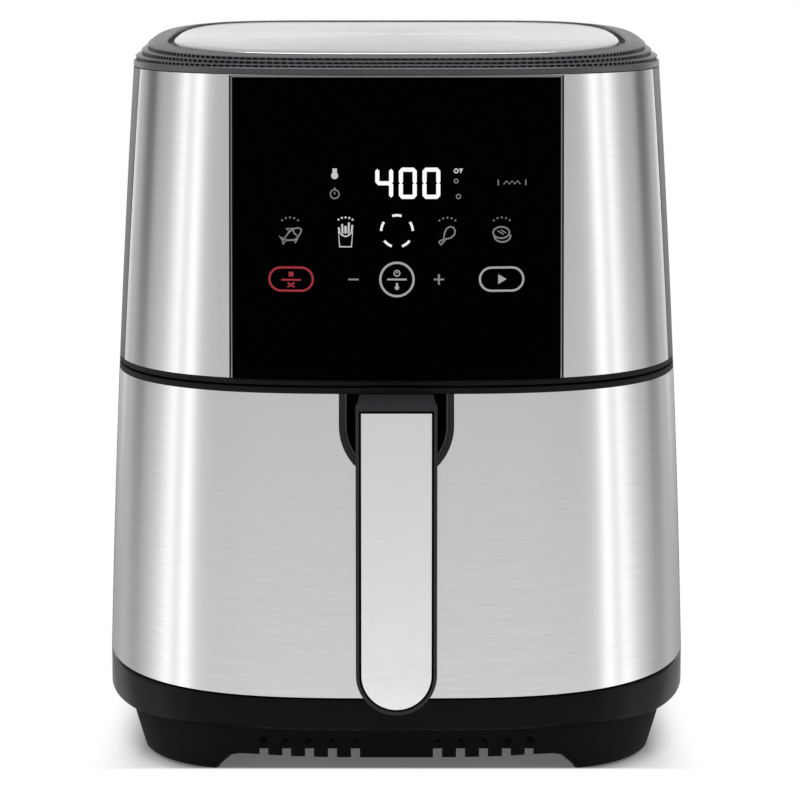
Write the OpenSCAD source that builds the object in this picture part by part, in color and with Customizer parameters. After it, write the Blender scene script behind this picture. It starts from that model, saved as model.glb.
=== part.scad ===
// Air fryer with a square pull-out basket drawer, modelled as it comes apart on a bench.
// Millimetres, +Z up, the front faces -Y. The origin is under the middle of the whole object.

/* [Body] */
// Width of the body at the top of the base
body_w = 268; // [256:1:290]
// Depth of the body from its middle to the front, at the top of the base
front_depth = 146; // [142:1:156]
// Depth of the body from its middle to the back, at the top of the base
rear_depth = 146; // [142:1:156]
// Radius of the tall arc that the side walls follow
wall_radius = 5300; // [4800:100:6500]
// How much more the front leans back than the sides do
front_lean = 1.4; // [1.2:0.1:1.5]
// Squareness of the plan seen across its width
width_power = 3.3; // [3.1:0.1:3.6]
// Squareness of the plan towards the front
front_power = 2.1; // [2.0:0.1:2.4]
// Squareness of the plan towards the back
rear_power = 2.6; // [2.4:0.1:3.0]
// Wall of the plastic housings
wall = 2.6; // [2.2:0.1:3]

/* [Base] */
// Height of the legs under the skirt
leg_h = 9.5; // [8:0.5:14]
// Height of the matt skirt
skirt_h = 13; // [11:0.5:15]
// Height of the glossy band above the skirt
band_h = 15; // [13:0.5:18]
// Space between the inner foot of a leg and the side of the body
leg_side = 55; // [50:1:60]
// Distance from the middle to a leg, along the depth
leg_y = 64; // [60:1:70]
// Radius of a rubber foot pad
pad_r = 9; // [7:0.5:11]
// How far a pad stands out below its leg
pad_proud = 1; // [0.6:0.1:1.6]
// Number of vent notches on each side of the skirt
notch_count = 5; // [3:1:5]
// Distance from the middle to the first notch
notch_start = 17.8; // [14:0.2:20]
// Spacing of the notches
notch_pitch = 10; // [8:0.5:10.5]
// Width of a notch
notch_w = 3.9; // [3:0.1:5]

/* [Drawer] */
// Height of the drawer front
drawer_h = 133.2; // [132:0.1:144]
// Height of the dark trim along the top of the drawer front
drawer_trim_h = 2.1; // [1.8:0.1:3.6]
// Running gap round the drawer front
drawer_gap = 0.9; // [0.7:0.1:1.2]
// Distance in front of the middle at which the drawer front and the front frame end
split_y = 36; // [32:1:42]
// Thickness of the stainless skins
skin_t = 0.8; // [0.6:0.1:1]

/* [Basket] */
// Space between the basket and the side of the body
basket_side = 32; // [31:1:36]
// Space between the basket and the front of the body
basket_ahead = 34; // [33:1:40]
// Space between the basket and the back of the body
basket_behind = 48; // [46:1:54]
// Corner radius of the basket
basket_r = 44; // [42:1:48]
// Wall of the basket
basket_t = 1.5; // [1.2:0.1:2]
// Width of the basket's rim flange
rim_w = 4; // [3.4:0.1:4.4]
// Height of the crisper tray above the basket floor
tray_lift = 10; // [8:0.5:14]
// Pitch of the holes in the tray
tray_pitch = 13; // [12:0.5:16]
// Length of a slot in the tray
tray_slot = 8; // [6:0.5:9]

/* [Handle] */
// Width of the handle
handle_w = 33.6; // [32:0.2:36]
// Height of the handle
handle_h = 128.3; // [120:0.1:128.4]
// Thickness of the handle bar
handle_t = 14; // [12:0.5:16]
// Clear space for fingers behind the handle bar, at the top
finger_gap = 34; // [30:1:38]
// Height of the handle's neck
neck_h = 19; // [16:0.5:20]
// Border of the grip round the brushed inlay
inlay_border = 2.2; // [1.8:0.1:3]
// Radius of the round recess behind the neck
recess_r = 24.2; // [23:0.2:26]
// Width of the recess bezel's rim
bezel_w = 2.6; // [2:0.1:3]
// Depth of the recess
recess_depth = 18; // [16:0.5:19]

/* [Upper housing] */
// Height of the dark lip under the stainless wrap
lip_h = 2.5; // [2:0.1:3]
// Height of the wrap at the middle of the body
wrap_h = 131.8; // [128:0.2:140]
// Distance in front of the middle at which the wrap ends
wrap_end_y = 56; // [50:1:64]
// Width of the glass control panel
panel_w = 140.4; // [130:0.2:144]
// Thickness of the glass
glass_t = 1.6; // [1.2:0.1:2]
// Width of the bright trim round the glass
trim_w = 0.6; // [0.5:0.1:1]
// Dark gap between the sides of the trim and the wrap
trim_gap = 0.8; // [0.2:0.1:1]
// Slope of the collar's lower edge, rise per length
collar_slope = 0.028; // [0.02:0.002:0.036]
// Slope of the top of the body, rise per length
top_slope = 0.068; // [0.06:0.002:0.074]
// Height of the plain collar
collar_h = 3.2; // [2.8:0.1:4]
// Rise from the top of the collar to the top frame, at the middle of the body
vent_rise = 9.7; // [9:0.1:11]
// Number of stepped vent rows
vent_rows = 3; // [2:1:4]
// Inset of the top frame from the collar
vent_inset = 8; // [7.5:0.1:9]
// Width of the top frame
frame_w = 8.8; // [7:0.1:10]
// Width of the dark groove round the top plate
groove_w = 2.4; // [2:0.1:4]

/* [Cooking chamber] */
// Space between the basket's rim and the chamber liner
bay_gap = 3; // [2.6:0.1:3.4]
// Height of the chamber's upper part above the lip
dome_h = 39; // [37:0.5:44]
// Space between the convection fan and the chamber wall
fan_side = 50; // [49:1:56]
// Number of blades on each fan
blade_count = 9; // [7:1:12]
// Radius of the heater's tube
heater_r = 3.3; // [3:0.1:3.6]
// Turns of the heater
heater_turns = 2; // [1.5:0.5:2]
// Radius of the motor shaft
shaft_r = 3; // [2.5:0.1:3.5]
// Radius of the motor
motor_r = 30; // [26:1:32]
// Height of the motor
motor_h = 36; // [32:1:40]

/* [Hidden] */
$fn = 48;

// Clearances that the fits share
fit = 0.2;
running = 0.05;
seat = 0.3;
cut = 1;

// Points on a quarter of the plan outline
quarter = 14;
ring_count = 4 * quarter;

// The side walls' arc is upright at this height
upright_z = -61;

// Heights, from the floor up
skirt_z = leg_h;
band_z = skirt_z + skirt_h;
base_z = band_z + band_h;
drawer_z = base_z + drawer_gap;
drawer_top = drawer_z + drawer_h;
lip_z = drawer_top + drawer_gap;
wrap_z = lip_z + lip_h;
collar_z = wrap_z + wrap_h;
collar_top = collar_z + collar_h;
frame_z = collar_top + vent_rise;
half_w = body_w / 2;
panel_half = panel_w / 2;
panel_top = collar_z - collar_slope * front_depth - 0.6;
panel_h = panel_top - wrap_z;

// Skirt and legs, set in from the body's outline
leg_x = half_w - leg_side;
skirt_in = 9;
skirt_flare = 3.8;
leg_in_x = 16;
leg_in_y = 20;
leg_top_in = 8;
leg_squarer = 1.2;
leg_slant = 6;
leg_root = 10.5;
cover_t = 2;
cover_z = skirt_z + 4.5;
notch_h = 8.4;
deck_t = 2.5;
post_r = 4;
screw_r = 1.6;
screw_head_r = 3.2;
screw_head_t = 2;
cover_x = leg_x - 24;
boss_r = 6;

// Pad centres follow the legs
pad_x = leg_x + 15;
pad_y = leg_y + 20;
pad_t = 3;

// Drawer front, behind its skin
shell_in = skin_t + fit;
shell_t = 2.4;
skin_top = drawer_top - drawer_trim_h;
recess_z = skin_top - 14;
front_y = front_depth - front_lean * body_inset(drawer_top);
recess_y = front_y - recess_depth;

// Basket
basket_w = body_w - 2 * basket_side;
basket_front = front_depth - basket_ahead;
basket_back = rear_depth - basket_behind;
basket_z = drawer_z + 7.6;
rim_t = 1.6;
rim_z = drawer_top - 3.1;
rim_half = basket_w / 2 + rim_w;
tray_z = basket_z + basket_t + tray_lift;
tray_t = 1.5;
tray_gap = 3;
tray_half = basket_w / 2 - basket_t - tray_gap;
tray_front = basket_front - basket_t - tray_gap;
tray_back = basket_back - basket_t - tray_gap;
tray_r = basket_r - basket_t - tray_gap;
rail_t = 3;

// Chamber liner
liner_t = 1;
liner_half = rim_half + bay_gap + liner_t;
liner_front = basket_front + 2;
liner_back = basket_back + rim_w + bay_gap + liner_t;
liner_z = base_z + 4.5;
liner_r = basket_r + rim_w + bay_gap;
dome_z = wrap_z + fit;
dome_top = dome_z + dome_h;
guard_z = dome_z + 4;
guard_t = 2;
guard_r = liner_half - 10;
post_x = guard_r - 3;
fan_r = liner_half - fan_side;
heater_inner = fan_r + heater_r + 3.7;
heater_pitch = 12;
heater_ends = [180, 180 + 360 * heater_turns];
heater_z = guard_z + guard_t + 7;
fan_z = heater_z + heater_r + 4.5;
fan_h = 11;
shield_z = dome_top + 7;
shield_t = 1;
shield_half = liner_half - 18;
cooler_z = shield_z + 4;
cooler_h = 7;
cooler_r = 44;
bracket_z = cooler_z + cooler_h + 3;
bracket_t = 2;
motor_z = bracket_z + bracket_t;
shaft_z = fan_z - 6;
shaft_top = motor_z + motor_h + 4;
hub_r = 9;
bracket_half = 38;
motor_screw_x = motor_r - 5;
sensor_y = basket_back - 9;
sensor_r = 2.5;
board_z = shield_z + 18;
board_t = 1.6;
board_y = shield_half - 4;
board_w = 100;
board_d = 50;
display_y = liner_front + 1.5;
display_half = panel_half - 9.3;
key_pitch = display_half * 0.37;
touch_r = 3;
frame_deep = 4;
plate_proud = 0.4;
plate_bevel = 0.9;

// Handle
bar_y = front_y + finger_gap;
grip_y = bar_y + handle_t;
handle_top = drawer_top - 2.7;
handle_z = handle_top - handle_h;
inlay_t = 1;
neck_w = handle_w - 3;
handle_screw_x = 9;

// Rear parts
vent_w = 60;
vent_h = 24;
vent_z = dome_z + 10;
vent_plug = 5;
gland_x = 50;
gland_z = base_z + 24;
gland_r = 3.6;
gland_flange_r = gland_r + 5;
rear_proud = 2;
gland_y = back_at(gland_x - gland_flange_r, gland_z) + fit / 2;

// Door switch behind the liner, pressed by the basket's rim
switch_x = rim_half - basket_r;
switch_z = rim_z + rim_t / 2;
plunger_r = 0.7;

// The body stands this far back, so that the whole object is centred on the origin
body_y = (grip_y - gland_y - rear_proud) / 2;

// How far the wall has curved in at a height
function body_inset(z) = (pow(z - upright_z, 2) - pow(base_z - upright_z, 2)) / (2 * wall_radius);

// Angle of an outline point, closer together where the outline crosses the axes
function outline_angle(i) =
    90 * (floor(i / quarter) + (1 - cos(180 * (i % quarter) / quarter)) / 2);

// Point of an outline with half-width a and depths f to the front and r to the back
function outline_point(i, a, f, r, w_pow, f_pow, r_pow) =
    let (t = outline_angle(i))
    let (s = sin(t))
    let (d = s < 0 ? f : r)
    let (p = s < 0 ? f_pow : r_pow)
    [sign(cos(t)) * a * pow(abs(cos(t)), 2 / w_pow), sign(s) * d * pow(abs(s), 2 / p)];

function tilted(points, z, slope) = [for (p = points) [p.x, p.y, z + slope * p.y]];

// Outline of the body at a height, set in by a distance
function body_ring(z, inset = 0, slope = 0, inset_y = undef) =
    let (c = body_inset(z))
    let (iy = is_undef(inset_y) ? inset : inset_y)
    tilted([for (i = [0 : ring_count - 1]) outline_point(i, half_w - c - inset,
        front_depth - front_lean * c - iy, rear_depth - c - iy, width_power, front_power, rear_power)],
        z, slope);

// Outline between the collar (s = 0) and the squarer top frame (s = 1)
function cap_ring(s, inset, z, slope) =
    let (c = body_inset(collar_z))
    let (d = s * vent_inset + inset)
    tilted([for (i = [0 : ring_count - 1]) outline_point(i, half_w - c - d,
        front_depth - front_lean * c - d, rear_depth - c - d, width_power + s * 2.7,
        front_power + s * 0.35, rear_power + s * 0.4)], z, slope);

// Squarer outline of the legs, from their feet (s = 0) to the band (s = 1)
function leg_ring(s) =
    let (ix = leg_in_x + s * (leg_top_in - leg_in_x))
    let (iy = leg_in_y + s * (leg_top_in - leg_in_y))
    let (p = leg_squarer * (1 - s / 2))
    tilted([for (i = [0 : ring_count - 1]) outline_point(i, half_w - ix, front_depth - iy,
        rear_depth - iy, width_power + p, front_power + p, rear_power + p)],
        pad_proud + s * (band_z - pad_proud), 0);

// Solid through a stack of outlines, from the bottom up
module loft(rings) {
    n = len(rings[0]);
    sides = [for (k = [0 : len(rings) - 2]) for (i = [0 : n - 1])
        let (a = k * n + i, b = k * n + (i + 1) % n)
        each [[a, a + n, b + n], [a, b + n, b]]];
    caps = [[for (i = [0 : n - 1]) i], [for (i = [n - 1 : -1 : 0]) (len(rings) - 1) * n + i]];
    polyhedron([for (r = rings) each r], concat(sides, caps));
}

// Solid ring whose cross-section runs through the given outlines, up the outside and down the inside
module hoop(rings) {
    n = len(rings[0]);
    m = len(rings);
    faces = [for (k = [0 : m - 1]) for (i = [0 : n - 1])
        let (a = k * n + i, b = k * n + (i + 1) % n, c = ((k + 1) % m) * n)
        each [[a, c + i, c + (i + 1) % n], [a, c + (i + 1) % n, b]]];
    polyhedron([for (r = rings) each r], faces);
}

// Solid of the body's form between two heights, with a level between them
module body_solid(z0, z1, inset = 0, slope = 0) {
    loft([body_ring(z0, inset), body_ring((z0 + z1) / 2, inset, slope / 2), body_ring(z1, inset, slope)]);
}

// Wall of the body's form
module body_wall(z0, z1, inset, t, slope = 0) {
    difference() {
        body_solid(z0, z1, inset, slope);
        body_solid(z0 - cut, z1 + cut, inset + t, slope);
    }
}

// Space in front of, or behind, a plane across the body
module ahead_of(y) {
    translate([-body_w, -y - 2 * body_w, -cut]) cube([2 * body_w, 2 * body_w, 2 * body_w]);
}
module behind(y) {
    translate([-body_w, -y, -cut]) cube([2 * body_w, 2 * body_w, 2 * body_w]);
}

// Upright rounded box
module round_box(half, front, back, r, z0, z1) {
    y0 = -front + r;
    y1 = back - r;
    translate([0, 0, z0]) linear_extrude(z1 - z0) union() {
        translate([-half, y0]) square([2 * half, y1 - y0]);
        translate([-half + r, -front]) square([2 * (half - r), front + back]);
        for (x = [-half + r, half - r], y = [y0, y1]) translate([x, y]) circle(r);
    }
}

module at_body() {
    translate([0, body_y, 0]) children();
}

module mirrored_x() {
    children();
    mirror([1, 0, 0]) children();
}

module four(x, y) {
    for (sx = [-1, 1], sy = [-1, 1]) translate([sx * x, sy * y, 0]) children();
}

module ring_tube(r_out, r_in, h) {
    difference() {
        cylinder(r = r_out, h = h);
        translate([0, 0, -cut]) cylinder(r = r_in, h = h + 2 * cut);
    }
}

// Space of a corner leg, slanting inwards to the skirt and wider where it joins it
module leg_block() {
    translate([0, half_w * 2, 0]) rotate([90, 0, 0]) linear_extrude(half_w * 2 - leg_y)
        polygon([[leg_x, 0], [half_w + cut, 0], [half_w + cut, band_z + cut],
            [leg_x - leg_slant - leg_root, band_z + cut],
            [leg_x - leg_slant - leg_root, skirt_z], [leg_x - leg_slant, skirt_z]]);
}

module base_tub() {
    color("#17181a") at_body() {
        difference() {
            union() {
                difference() {
                    union() {
                        loft([body_ring(band_z, 1), body_ring(band_z + 1, 0),
                            body_ring(base_z - 1.2, 0), body_ring(base_z, 0.9)]);
                        loft([body_ring(skirt_z, skirt_in + skirt_flare), body_ring(band_z + cut, skirt_in)]);
                    }
                    loft([body_ring(skirt_z - cut, skirt_in + skirt_flare + wall),
                        body_ring(base_z - deck_t, skirt_in + wall)]);
                }
                intersection() {
                    loft([leg_ring(0), leg_ring(1)]);
                    union() {
                        mirrored_x() leg_block();
                        mirror([0, 1, 0]) mirrored_x() leg_block();
                    }
                }
                four(cover_x, leg_y) translate([0, 0, cover_z + cover_t]) cylinder(r = post_r,
                    h = base_z - cover_z - cover_t);
                for (x = [-1, 1], y = [-split_y + 16, liner_back - 40])
                    translate([x * (liner_half - 30), y, base_z - deck_t]) cylinder(r = boss_r,
                        h = liner_z - base_z + deck_t);
            }
            four(pad_x, pad_y) translate([0, 0, -cut]) cylinder(r = pad_r + fit, h = pad_t + cut);
            four(cover_x, leg_y) translate([0, 0, skirt_z]) cylinder(r = screw_r + running,
                h = cover_z - skirt_z + cover_t + 9);
            for (side = [-1, 1], k = [0 : notch_count - 1])
                translate([side * (notch_start + k * notch_pitch), -front_depth / 2,
                    skirt_z + notch_h - notch_w / 2]) {
                    rotate([90, 0, 0]) cylinder(d = notch_w, h = front_depth);
                    translate([-notch_w / 2, -front_depth, -notch_h]) cube([notch_w, front_depth, notch_h]);
                }
        }
    }
}

module bottom_cover() {
    inset = skirt_in + skirt_flare + wall + fit;
    color("#1d1e20") at_body() difference() {
        loft([body_ring(cover_z, inset), body_ring(cover_z + cover_t, inset)]);
        mirrored_x() for (s = [0, 1]) mirror([0, s, 0])
            translate([leg_x - leg_slant - leg_root - fit, leg_y - fit, cover_z - cut])
            cube([half_w, rear_depth, cover_t + 2 * cut]);
        four(cover_x, leg_y) translate([0, 0, cover_z - cut])
            cylinder(r = screw_r + fit, h = cover_t + 2 * cut);
        for (x = [-40 : 10 : 40]) translate([x - 2, -35, cover_z - cut]) cube([4, 70, cover_t + 2 * cut]);
    }
}

module foot_pads() {
    color("#222222") at_body() four(pad_x, pad_y) cylinder(r = pad_r, h = pad_t - fit);
}

module base_screws() {
    color("#9a9a9a") at_body() four(cover_x, leg_y) {
        translate([0, 0, cover_z - screw_head_t]) cylinder(r = screw_head_r, h = screw_head_t);
        translate([0, 0, cover_z - screw_head_t]) cylinder(r = screw_r, h = cover_t + screw_head_t + 8);
    }
}

module rear_housing() {
    color("#141416") at_body() difference() {
        intersection() {
            body_wall(base_z, collar_z, 0, wall, collar_slope);
            behind(split_y - drawer_gap);
        }
        translate([-vent_w / 2 - fit, 0, vent_z - fit])
            cube([vent_w + 2 * fit, rear_depth + wall, vent_h + 2 * fit]);
        translate([gland_x, 0, gland_z]) rotate([-90, 0, 0])
            cylinder(r = gland_r + 2 + fit, h = rear_depth + wall);
    }
}

// Distance from the middle to the front or back of the body, off its centre line by x
function front_at(x, z) = (front_depth - front_lean * body_inset(z))
    * pow(1 - pow(abs(x) / (half_w - body_inset(z)), width_power), 1 / front_power);
function back_at(x, z) = (rear_depth - body_inset(z))
    * pow(1 - pow(abs(x) / (half_w - body_inset(z)), width_power), 1 / rear_power);

module rear_vent() {
    slats = 5;
    gap = (vent_h - 5) / slats;
    rim = 3;
    flange_t = 1.4;
    y = back_at(0, vent_z + vent_h);
    color("#101012") at_body() difference() {
        union() {
            translate([-vent_w / 2, y - vent_plug, vent_z]) cube([vent_w, vent_plug + flange_t, vent_h]);
            intersection() {
                body_wall(vent_z - 2 * rim, vent_z + vent_h + 2 * rim, -flange_t - fit / 2, flange_t);
                translate([-vent_w / 2 - rim, 0, vent_z - rim])
                    cube([vent_w + 2 * rim, 2 * rear_depth, vent_h + 2 * rim]);
            }
        }
        for (k = [0 : slats - 1]) translate([-vent_w / 2 + 4, y - vent_plug - cut, vent_z + 3 + k * gap])
            cube([vent_w - 8, 2 * vent_plug + 2 * cut, gap - 1.6]);
    }
}

module cord_gland() {
    plug = 7;
    color("#0d0d0d") at_body() translate([gland_x, gland_y, gland_z]) rotate([-90, 0, 0]) difference() {
        union() {
            translate([0, 0, -plug]) cylinder(r = gland_r + 2, h = plug + cut);
            cylinder(r = gland_flange_r, h = rear_proud);
        }
        translate([0, 0, -plug - cut]) cylinder(r = gland_r, h = plug + rear_proud + 2 * cut);
    }
}

// Window that the glass and its trim fill
module panel_window(half, z0, z1) {
    translate([-half, -2 * front_depth, z0]) cube([2 * half, 2 * front_depth - split_y - 30, z1 - z0]);
}

module front_frame() {
    window_side = 12;
    window_low = 16;
    window_high = 14;
    board_x = display_half - 8;
    color("#161618") at_body() union() {
        difference() {
            intersection() {
                union() {
                    body_wall(lip_z, collar_z, shell_in, wall, collar_slope);
                    body_wall(lip_z, wrap_z, 0, wall);
                    intersection() {
                        body_wall(wrap_z, collar_z, 0, wall, collar_slope);
                        behind(wrap_end_y - fit);
                    }
                    difference() {
                        body_solid(lip_z, wrap_z, wall);
                        round_box(liner_half - 3, liner_front - 3, rear_depth, liner_r, lip_z - cut,
                            wrap_z + cut);
                    }
                }
                ahead_of(split_y);
            }
            panel_window(panel_half - window_side, wrap_z + window_low, panel_top - window_high);
        }
        intersection() {
            body_solid(lip_z, collar_z, shell_in + fit, collar_slope);
            for (x = [-1, 1], z = [wrap_z + 10, panel_top - 8])
                translate([x * board_x, -display_y - board_t, z]) rotate([90, 0, 0])
                    cylinder(r = post_r, h = front_depth - display_y);
        }
    }
}

module front_wrap() {
    color("#c9c9cb") at_body() difference() {
        intersection() {
            body_wall(wrap_z, collar_z, 0, skin_t, collar_slope);
            ahead_of(wrap_end_y);
        }
        panel_window(panel_half + trim_w + trim_gap, wrap_z - cut, panel_top + trim_w + fit / 2);
    }
}

module panel_trim() {
    color("#b8b8ba") at_body() difference() {
        intersection() {
            body_wall(wrap_z, collar_z, -0.1, skin_t + 0.1, collar_slope);
            panel_window(panel_half + trim_w, wrap_z, panel_top + trim_w);
        }
        panel_window(panel_half + fit / 2, wrap_z - cut, panel_top);
    }
}

module control_panel() {
    color("#050506") at_body() intersection() {
        body_wall(wrap_z, collar_z, shell_in - glass_t, glass_t - fit / 2, collar_slope);
        panel_window(panel_half, wrap_z, panel_top - fit / 2);
    }
}

module display_board() {
    color("#1f5a33") at_body() difference() {
        translate([-display_half, -display_y - board_t, wrap_z + 4])
            cube([2 * display_half, board_t - fit, panel_h - 8]);
        for (x = [-1, 1]) translate([x * display_half / 2, -display_y + cut, wrap_z + 8]) rotate([90, 0, 0])
            cylinder(r = screw_r, h = 3 * cut + board_t);
    }
}

// Space between the display board and the glass
function board_gap(x, z) = front_at(x, z) - shell_in - fit - seat - display_y - board_t;

module display_module() {
    z = wrap_z + panel_h * 0.578;
    w = 44;
    h = panel_h * 0.143;
    deep = board_gap(w / 2, z + h);
    color("#e8e8e8") at_body()
        translate([-w / 2, -display_y - board_t - deep, z]) cube([w, deep, h]);
}

module touch_springs() {
    color("#b5b5b5") at_body() for (k = [-2 : 2], row = [0.335, 0.486])
        let (x = k * key_pitch, z = wrap_z + row * panel_h) translate([x, -display_y - board_t, z])
            rotate([90, 0, 0])
            cylinder(r = touch_r, h = board_gap(abs(x) + touch_r, z + touch_r));
}

// Outline of the stepped cap at a fraction of the way from the collar to the frame
function step_z(s) = collar_top + s * vent_rise;
function step_slope(s) = collar_slope + s * (top_slope - collar_slope);

module vent_collar() {
    slot_w = 4;
    slot_d = 4.4;
    slot_pitch = 6.4;
    slots = 25;
    seat_z = frame_z - frame_deep - fit;
    steps = [for (k = [1 : vent_rows]) let (s = (k - 0.7) / vent_rows, a = (k - 1) / vent_rows,
        b = k / vent_rows)
        each [cap_ring(s, 0, step_z(a), step_slope(a)), cap_ring(s, 0, step_z(b) - fit, step_slope(b))]];
    color("#4a4a4e") at_body() difference() {
        hoop(concat([cap_ring(0, 0, collar_z + fit, collar_slope),
            cap_ring(0, 0, collar_top, collar_slope)], steps,
            [cap_ring(1, -fit, frame_z - fit, top_slope), cap_ring(1, -fit, seat_z, top_slope),
            cap_ring(1, frame_w - 1, seat_z, top_slope), cap_ring(1, frame_w - 1, seat_z - 1.5, top_slope),
            cap_ring(0, wall, collar_top - 2, collar_slope),
                cap_ring(0, wall, collar_z + fit, collar_slope)]));
        for (k = [-(slots - 1) / 2 : (slots - 1) / 2]) let (x = k * slot_pitch)
            translate([x - slot_w / 2, -front_at(x, collar_z) + wall + 0.4, collar_z - 2 * wall])
                cube([slot_w, slot_d, 6 * wall]);
    }
}

module top_frame() {
    floor_t = 1.4;
    color("#3c3c40") at_body() difference() {
        loft([cap_ring(1, 0, frame_z - frame_deep, top_slope), cap_ring(1, 0, frame_z - 0.6, top_slope),
            cap_ring(1, 0.6, frame_z, top_slope)]);
        loft([cap_ring(1, frame_w, frame_z - frame_deep + floor_t, top_slope),
            cap_ring(1, frame_w, frame_z + cut, top_slope)]);
    }
}

module top_plate() {
    inset = frame_w + groove_w;
    color("#d6d6d8") at_body() loft([
        cap_ring(1, inset, frame_z - 2.6 + fit / 2, top_slope), cap_ring(1, inset, frame_z - 0.2, top_slope),
        cap_ring(1, inset + plate_bevel, frame_z + plate_proud, top_slope)]);
}

module chamber_liner() {
    color("#8f9092") at_body() difference() {
        round_box(liner_half, liner_front, liner_back, liner_r, liner_z, dome_top);
        round_box(liner_half - liner_t, liner_front - liner_t, liner_back - liner_t, liner_r - liner_t,
            liner_z + liner_t, dome_top - liner_t);
        translate([-body_w, -2 * body_w - split_y + 2, -cut]) cube([2 * body_w, 2 * body_w, dome_z + cut]);
        translate([-vent_w / 2 + 2, 0, vent_z + 2]) cube([vent_w - 4, 2 * rear_depth, vent_h - 4]);
        translate([0, 0, dome_top - 2 * cut]) cylinder(r = shaft_r + 3, h = 4 * cut);
        translate([0, sensor_y, dome_top - 2 * cut]) cylinder(r = sensor_r + fit, h = 4 * cut);
        for (a = heater_ends) translate([turn_r(a) * cos(a), turn_r(a) * sin(a), dome_top - 2 * cut])
            cylinder(r = heater_r + 1, h = 4 * cut);
        translate([switch_x, liner_back - 3, switch_z]) rotate([-90, 0, 0])
            cylinder(r = plunger_r + 1, h = 6);
    }
}

module drawer_rails() {
    z = rim_z - seat - rail_t;
    x0 = basket_w / 2 + 1.2;
    y0 = -split_y + 4;
    color("#9c9da0") at_body() mirrored_x() translate([x0, y0, z])
        cube([liner_half - liner_t - fit - x0, liner_back - liner_r - y0, rail_t]);
}

function turn_r(a) = heater_inner + heater_pitch * (a - heater_ends[0]) / 360;

module fan_guard() {
    color("#77787a") at_body() translate([0, 0, guard_z]) {
        for (r = [20 : 12 : guard_r - 6]) ring_tube(r, r - 2.2, guard_t);
        for (a = [0 : 45 : 315]) rotate([0, 0, a]) translate([18, -1.5, 0]) cube([guard_r - 19, 3, guard_t]);
        ring_tube(guard_r, guard_r - 3, guard_t);
    }
}

module guard_posts() {
    z = guard_z + guard_t + fit / 2;
    color("#9b9ca0") at_body() for (a = [45 : 90 : 315]) rotate([0, 0, a]) translate([post_x, 0, z])
        cylinder(r = 3, h = dome_top - liner_t - fit - z);
}

module heater_coil() {
    sides = 10;
    n = ceil((heater_ends[1] - heater_ends[0]) / 10);
    step = (heater_ends[1] - heater_ends[0]) / n;
    points = [for (k = [0 : n]) let (a = heater_ends[0] + k * step) for (j = [0 : sides - 1])
        let (r = turn_r(a) + heater_r * cos(360 * j / sides))
        [r * cos(a), r * sin(a), heater_z + heater_r * sin(360 * j / sides)]];
    walls = [for (k = [0 : n - 1]) for (j = [0 : sides - 1])
        let (a = k * sides + j, b = k * sides + (j + 1) % sides)
        each [[a, b, b + sides], [a, b + sides, a + sides]]];
    caps = [[for (j = [sides - 1 : -1 : 0]) j], [for (j = [0 : sides - 1]) n * sides + j]];
    color("#5c5d60") at_body() {
        polyhedron(points, concat(walls, caps));
        for (a = heater_ends) translate([turn_r(a) * cos(a), turn_r(a) * sin(a), heater_z]) {
            sphere(heater_r * 1.05);
            cylinder(r = heater_r, h = dome_top + 5 - heater_z);
        }
    }
}

module heater_clips() {
    color("#a5a6a8") at_body() for (a = [30, 150, 270]) rotate([0, 0, a]) difference() {
        r1 = heater_inner + heater_pitch * (heater_turns - 1) - 4;
        translate([r1, -1, heater_z - heater_r - 3])
            cube([2 * heater_pitch, 2, dome_top - liner_t - fit - heater_z + heater_r + 3]);
        for (turn = [0 : 3]) translate([turn_r(a + 360 * turn), 3, heater_z]) rotate([90, 0, 0])
            cylinder(r = heater_r + 0.6, h = 6);
    }
}

module heat_shield() {
    color("#b4b5b8") at_body() difference() {
        union() {
            translate([-shield_half, -shield_half, shield_z])
                cube([2 * shield_half, 2 * shield_half, shield_t]);
            four(shield_half - 8, shield_half - 8) translate([0, 0, dome_top]) cylinder(r = post_r,
                h = shield_z - dome_top + shield_t);
        }
        translate([0, 0, shield_z - cut]) cylinder(r = shaft_r + 3, h = shield_t + 2 * cut);
    }
}

module motor_bracket() {
    color("#9b9ca0") at_body() difference() {
        union() {
            translate([-bracket_half - 5, -bracket_half - 5, bracket_z])
                cube([2 * bracket_half + 10, 2 * bracket_half + 10, bracket_t]);
            four(bracket_half, bracket_half) translate([0, 0, shield_z + shield_t]) cylinder(r = post_r,
                h = bracket_z - shield_z - shield_t + bracket_t);
        }
        translate([0, 0, bracket_z - cut]) cylinder(r = shaft_r + 3, h = bracket_t + 2 * cut);
        for (a = [45, 225]) rotate([0, 0, a]) translate([motor_screw_x, 0, bracket_z - cut])
            cylinder(r = screw_r + fit, h = bracket_t + 2 * cut);
    }
}

module fan_motor() {
    color("#6d6e72") at_body() difference() {
        union() {
            translate([0, 0, motor_z]) cylinder(r = motor_r, h = motor_h);
            translate([0, 0, motor_z + motor_h]) cylinder(r = 9, h = 3);
        }
        translate([0, 0, motor_z - cut]) cylinder(r = shaft_r + running, h = motor_h + 6);
        for (a = [45, 225]) rotate([0, 0, a]) translate([motor_screw_x, 0, motor_z - cut])
            cylinder(r = screw_r + running, h = 6 + cut);
    }
}

module motor_screws() {
    color("#b0b0b0") at_body() for (a = [45, 225]) rotate([0, 0, a]) translate([motor_screw_x, 0, 0]) {
        translate([0, 0, bracket_z - screw_head_t]) cylinder(r = screw_head_r, h = screw_head_t);
        translate([0, 0, bracket_z - screw_head_t]) cylinder(r = screw_r, h = screw_head_t + bracket_t + 5);
    }
}

module temperature_sensor() {
    color("#c0c1c4") at_body() translate([0, sensor_y, 0]) {
        translate([0, 0, dome_top - 14]) cylinder(r = sensor_r, h = 16);
        translate([0, 0, dome_top + fit / 2]) cylinder(r = 5, h = 2);
    }
}

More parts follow.
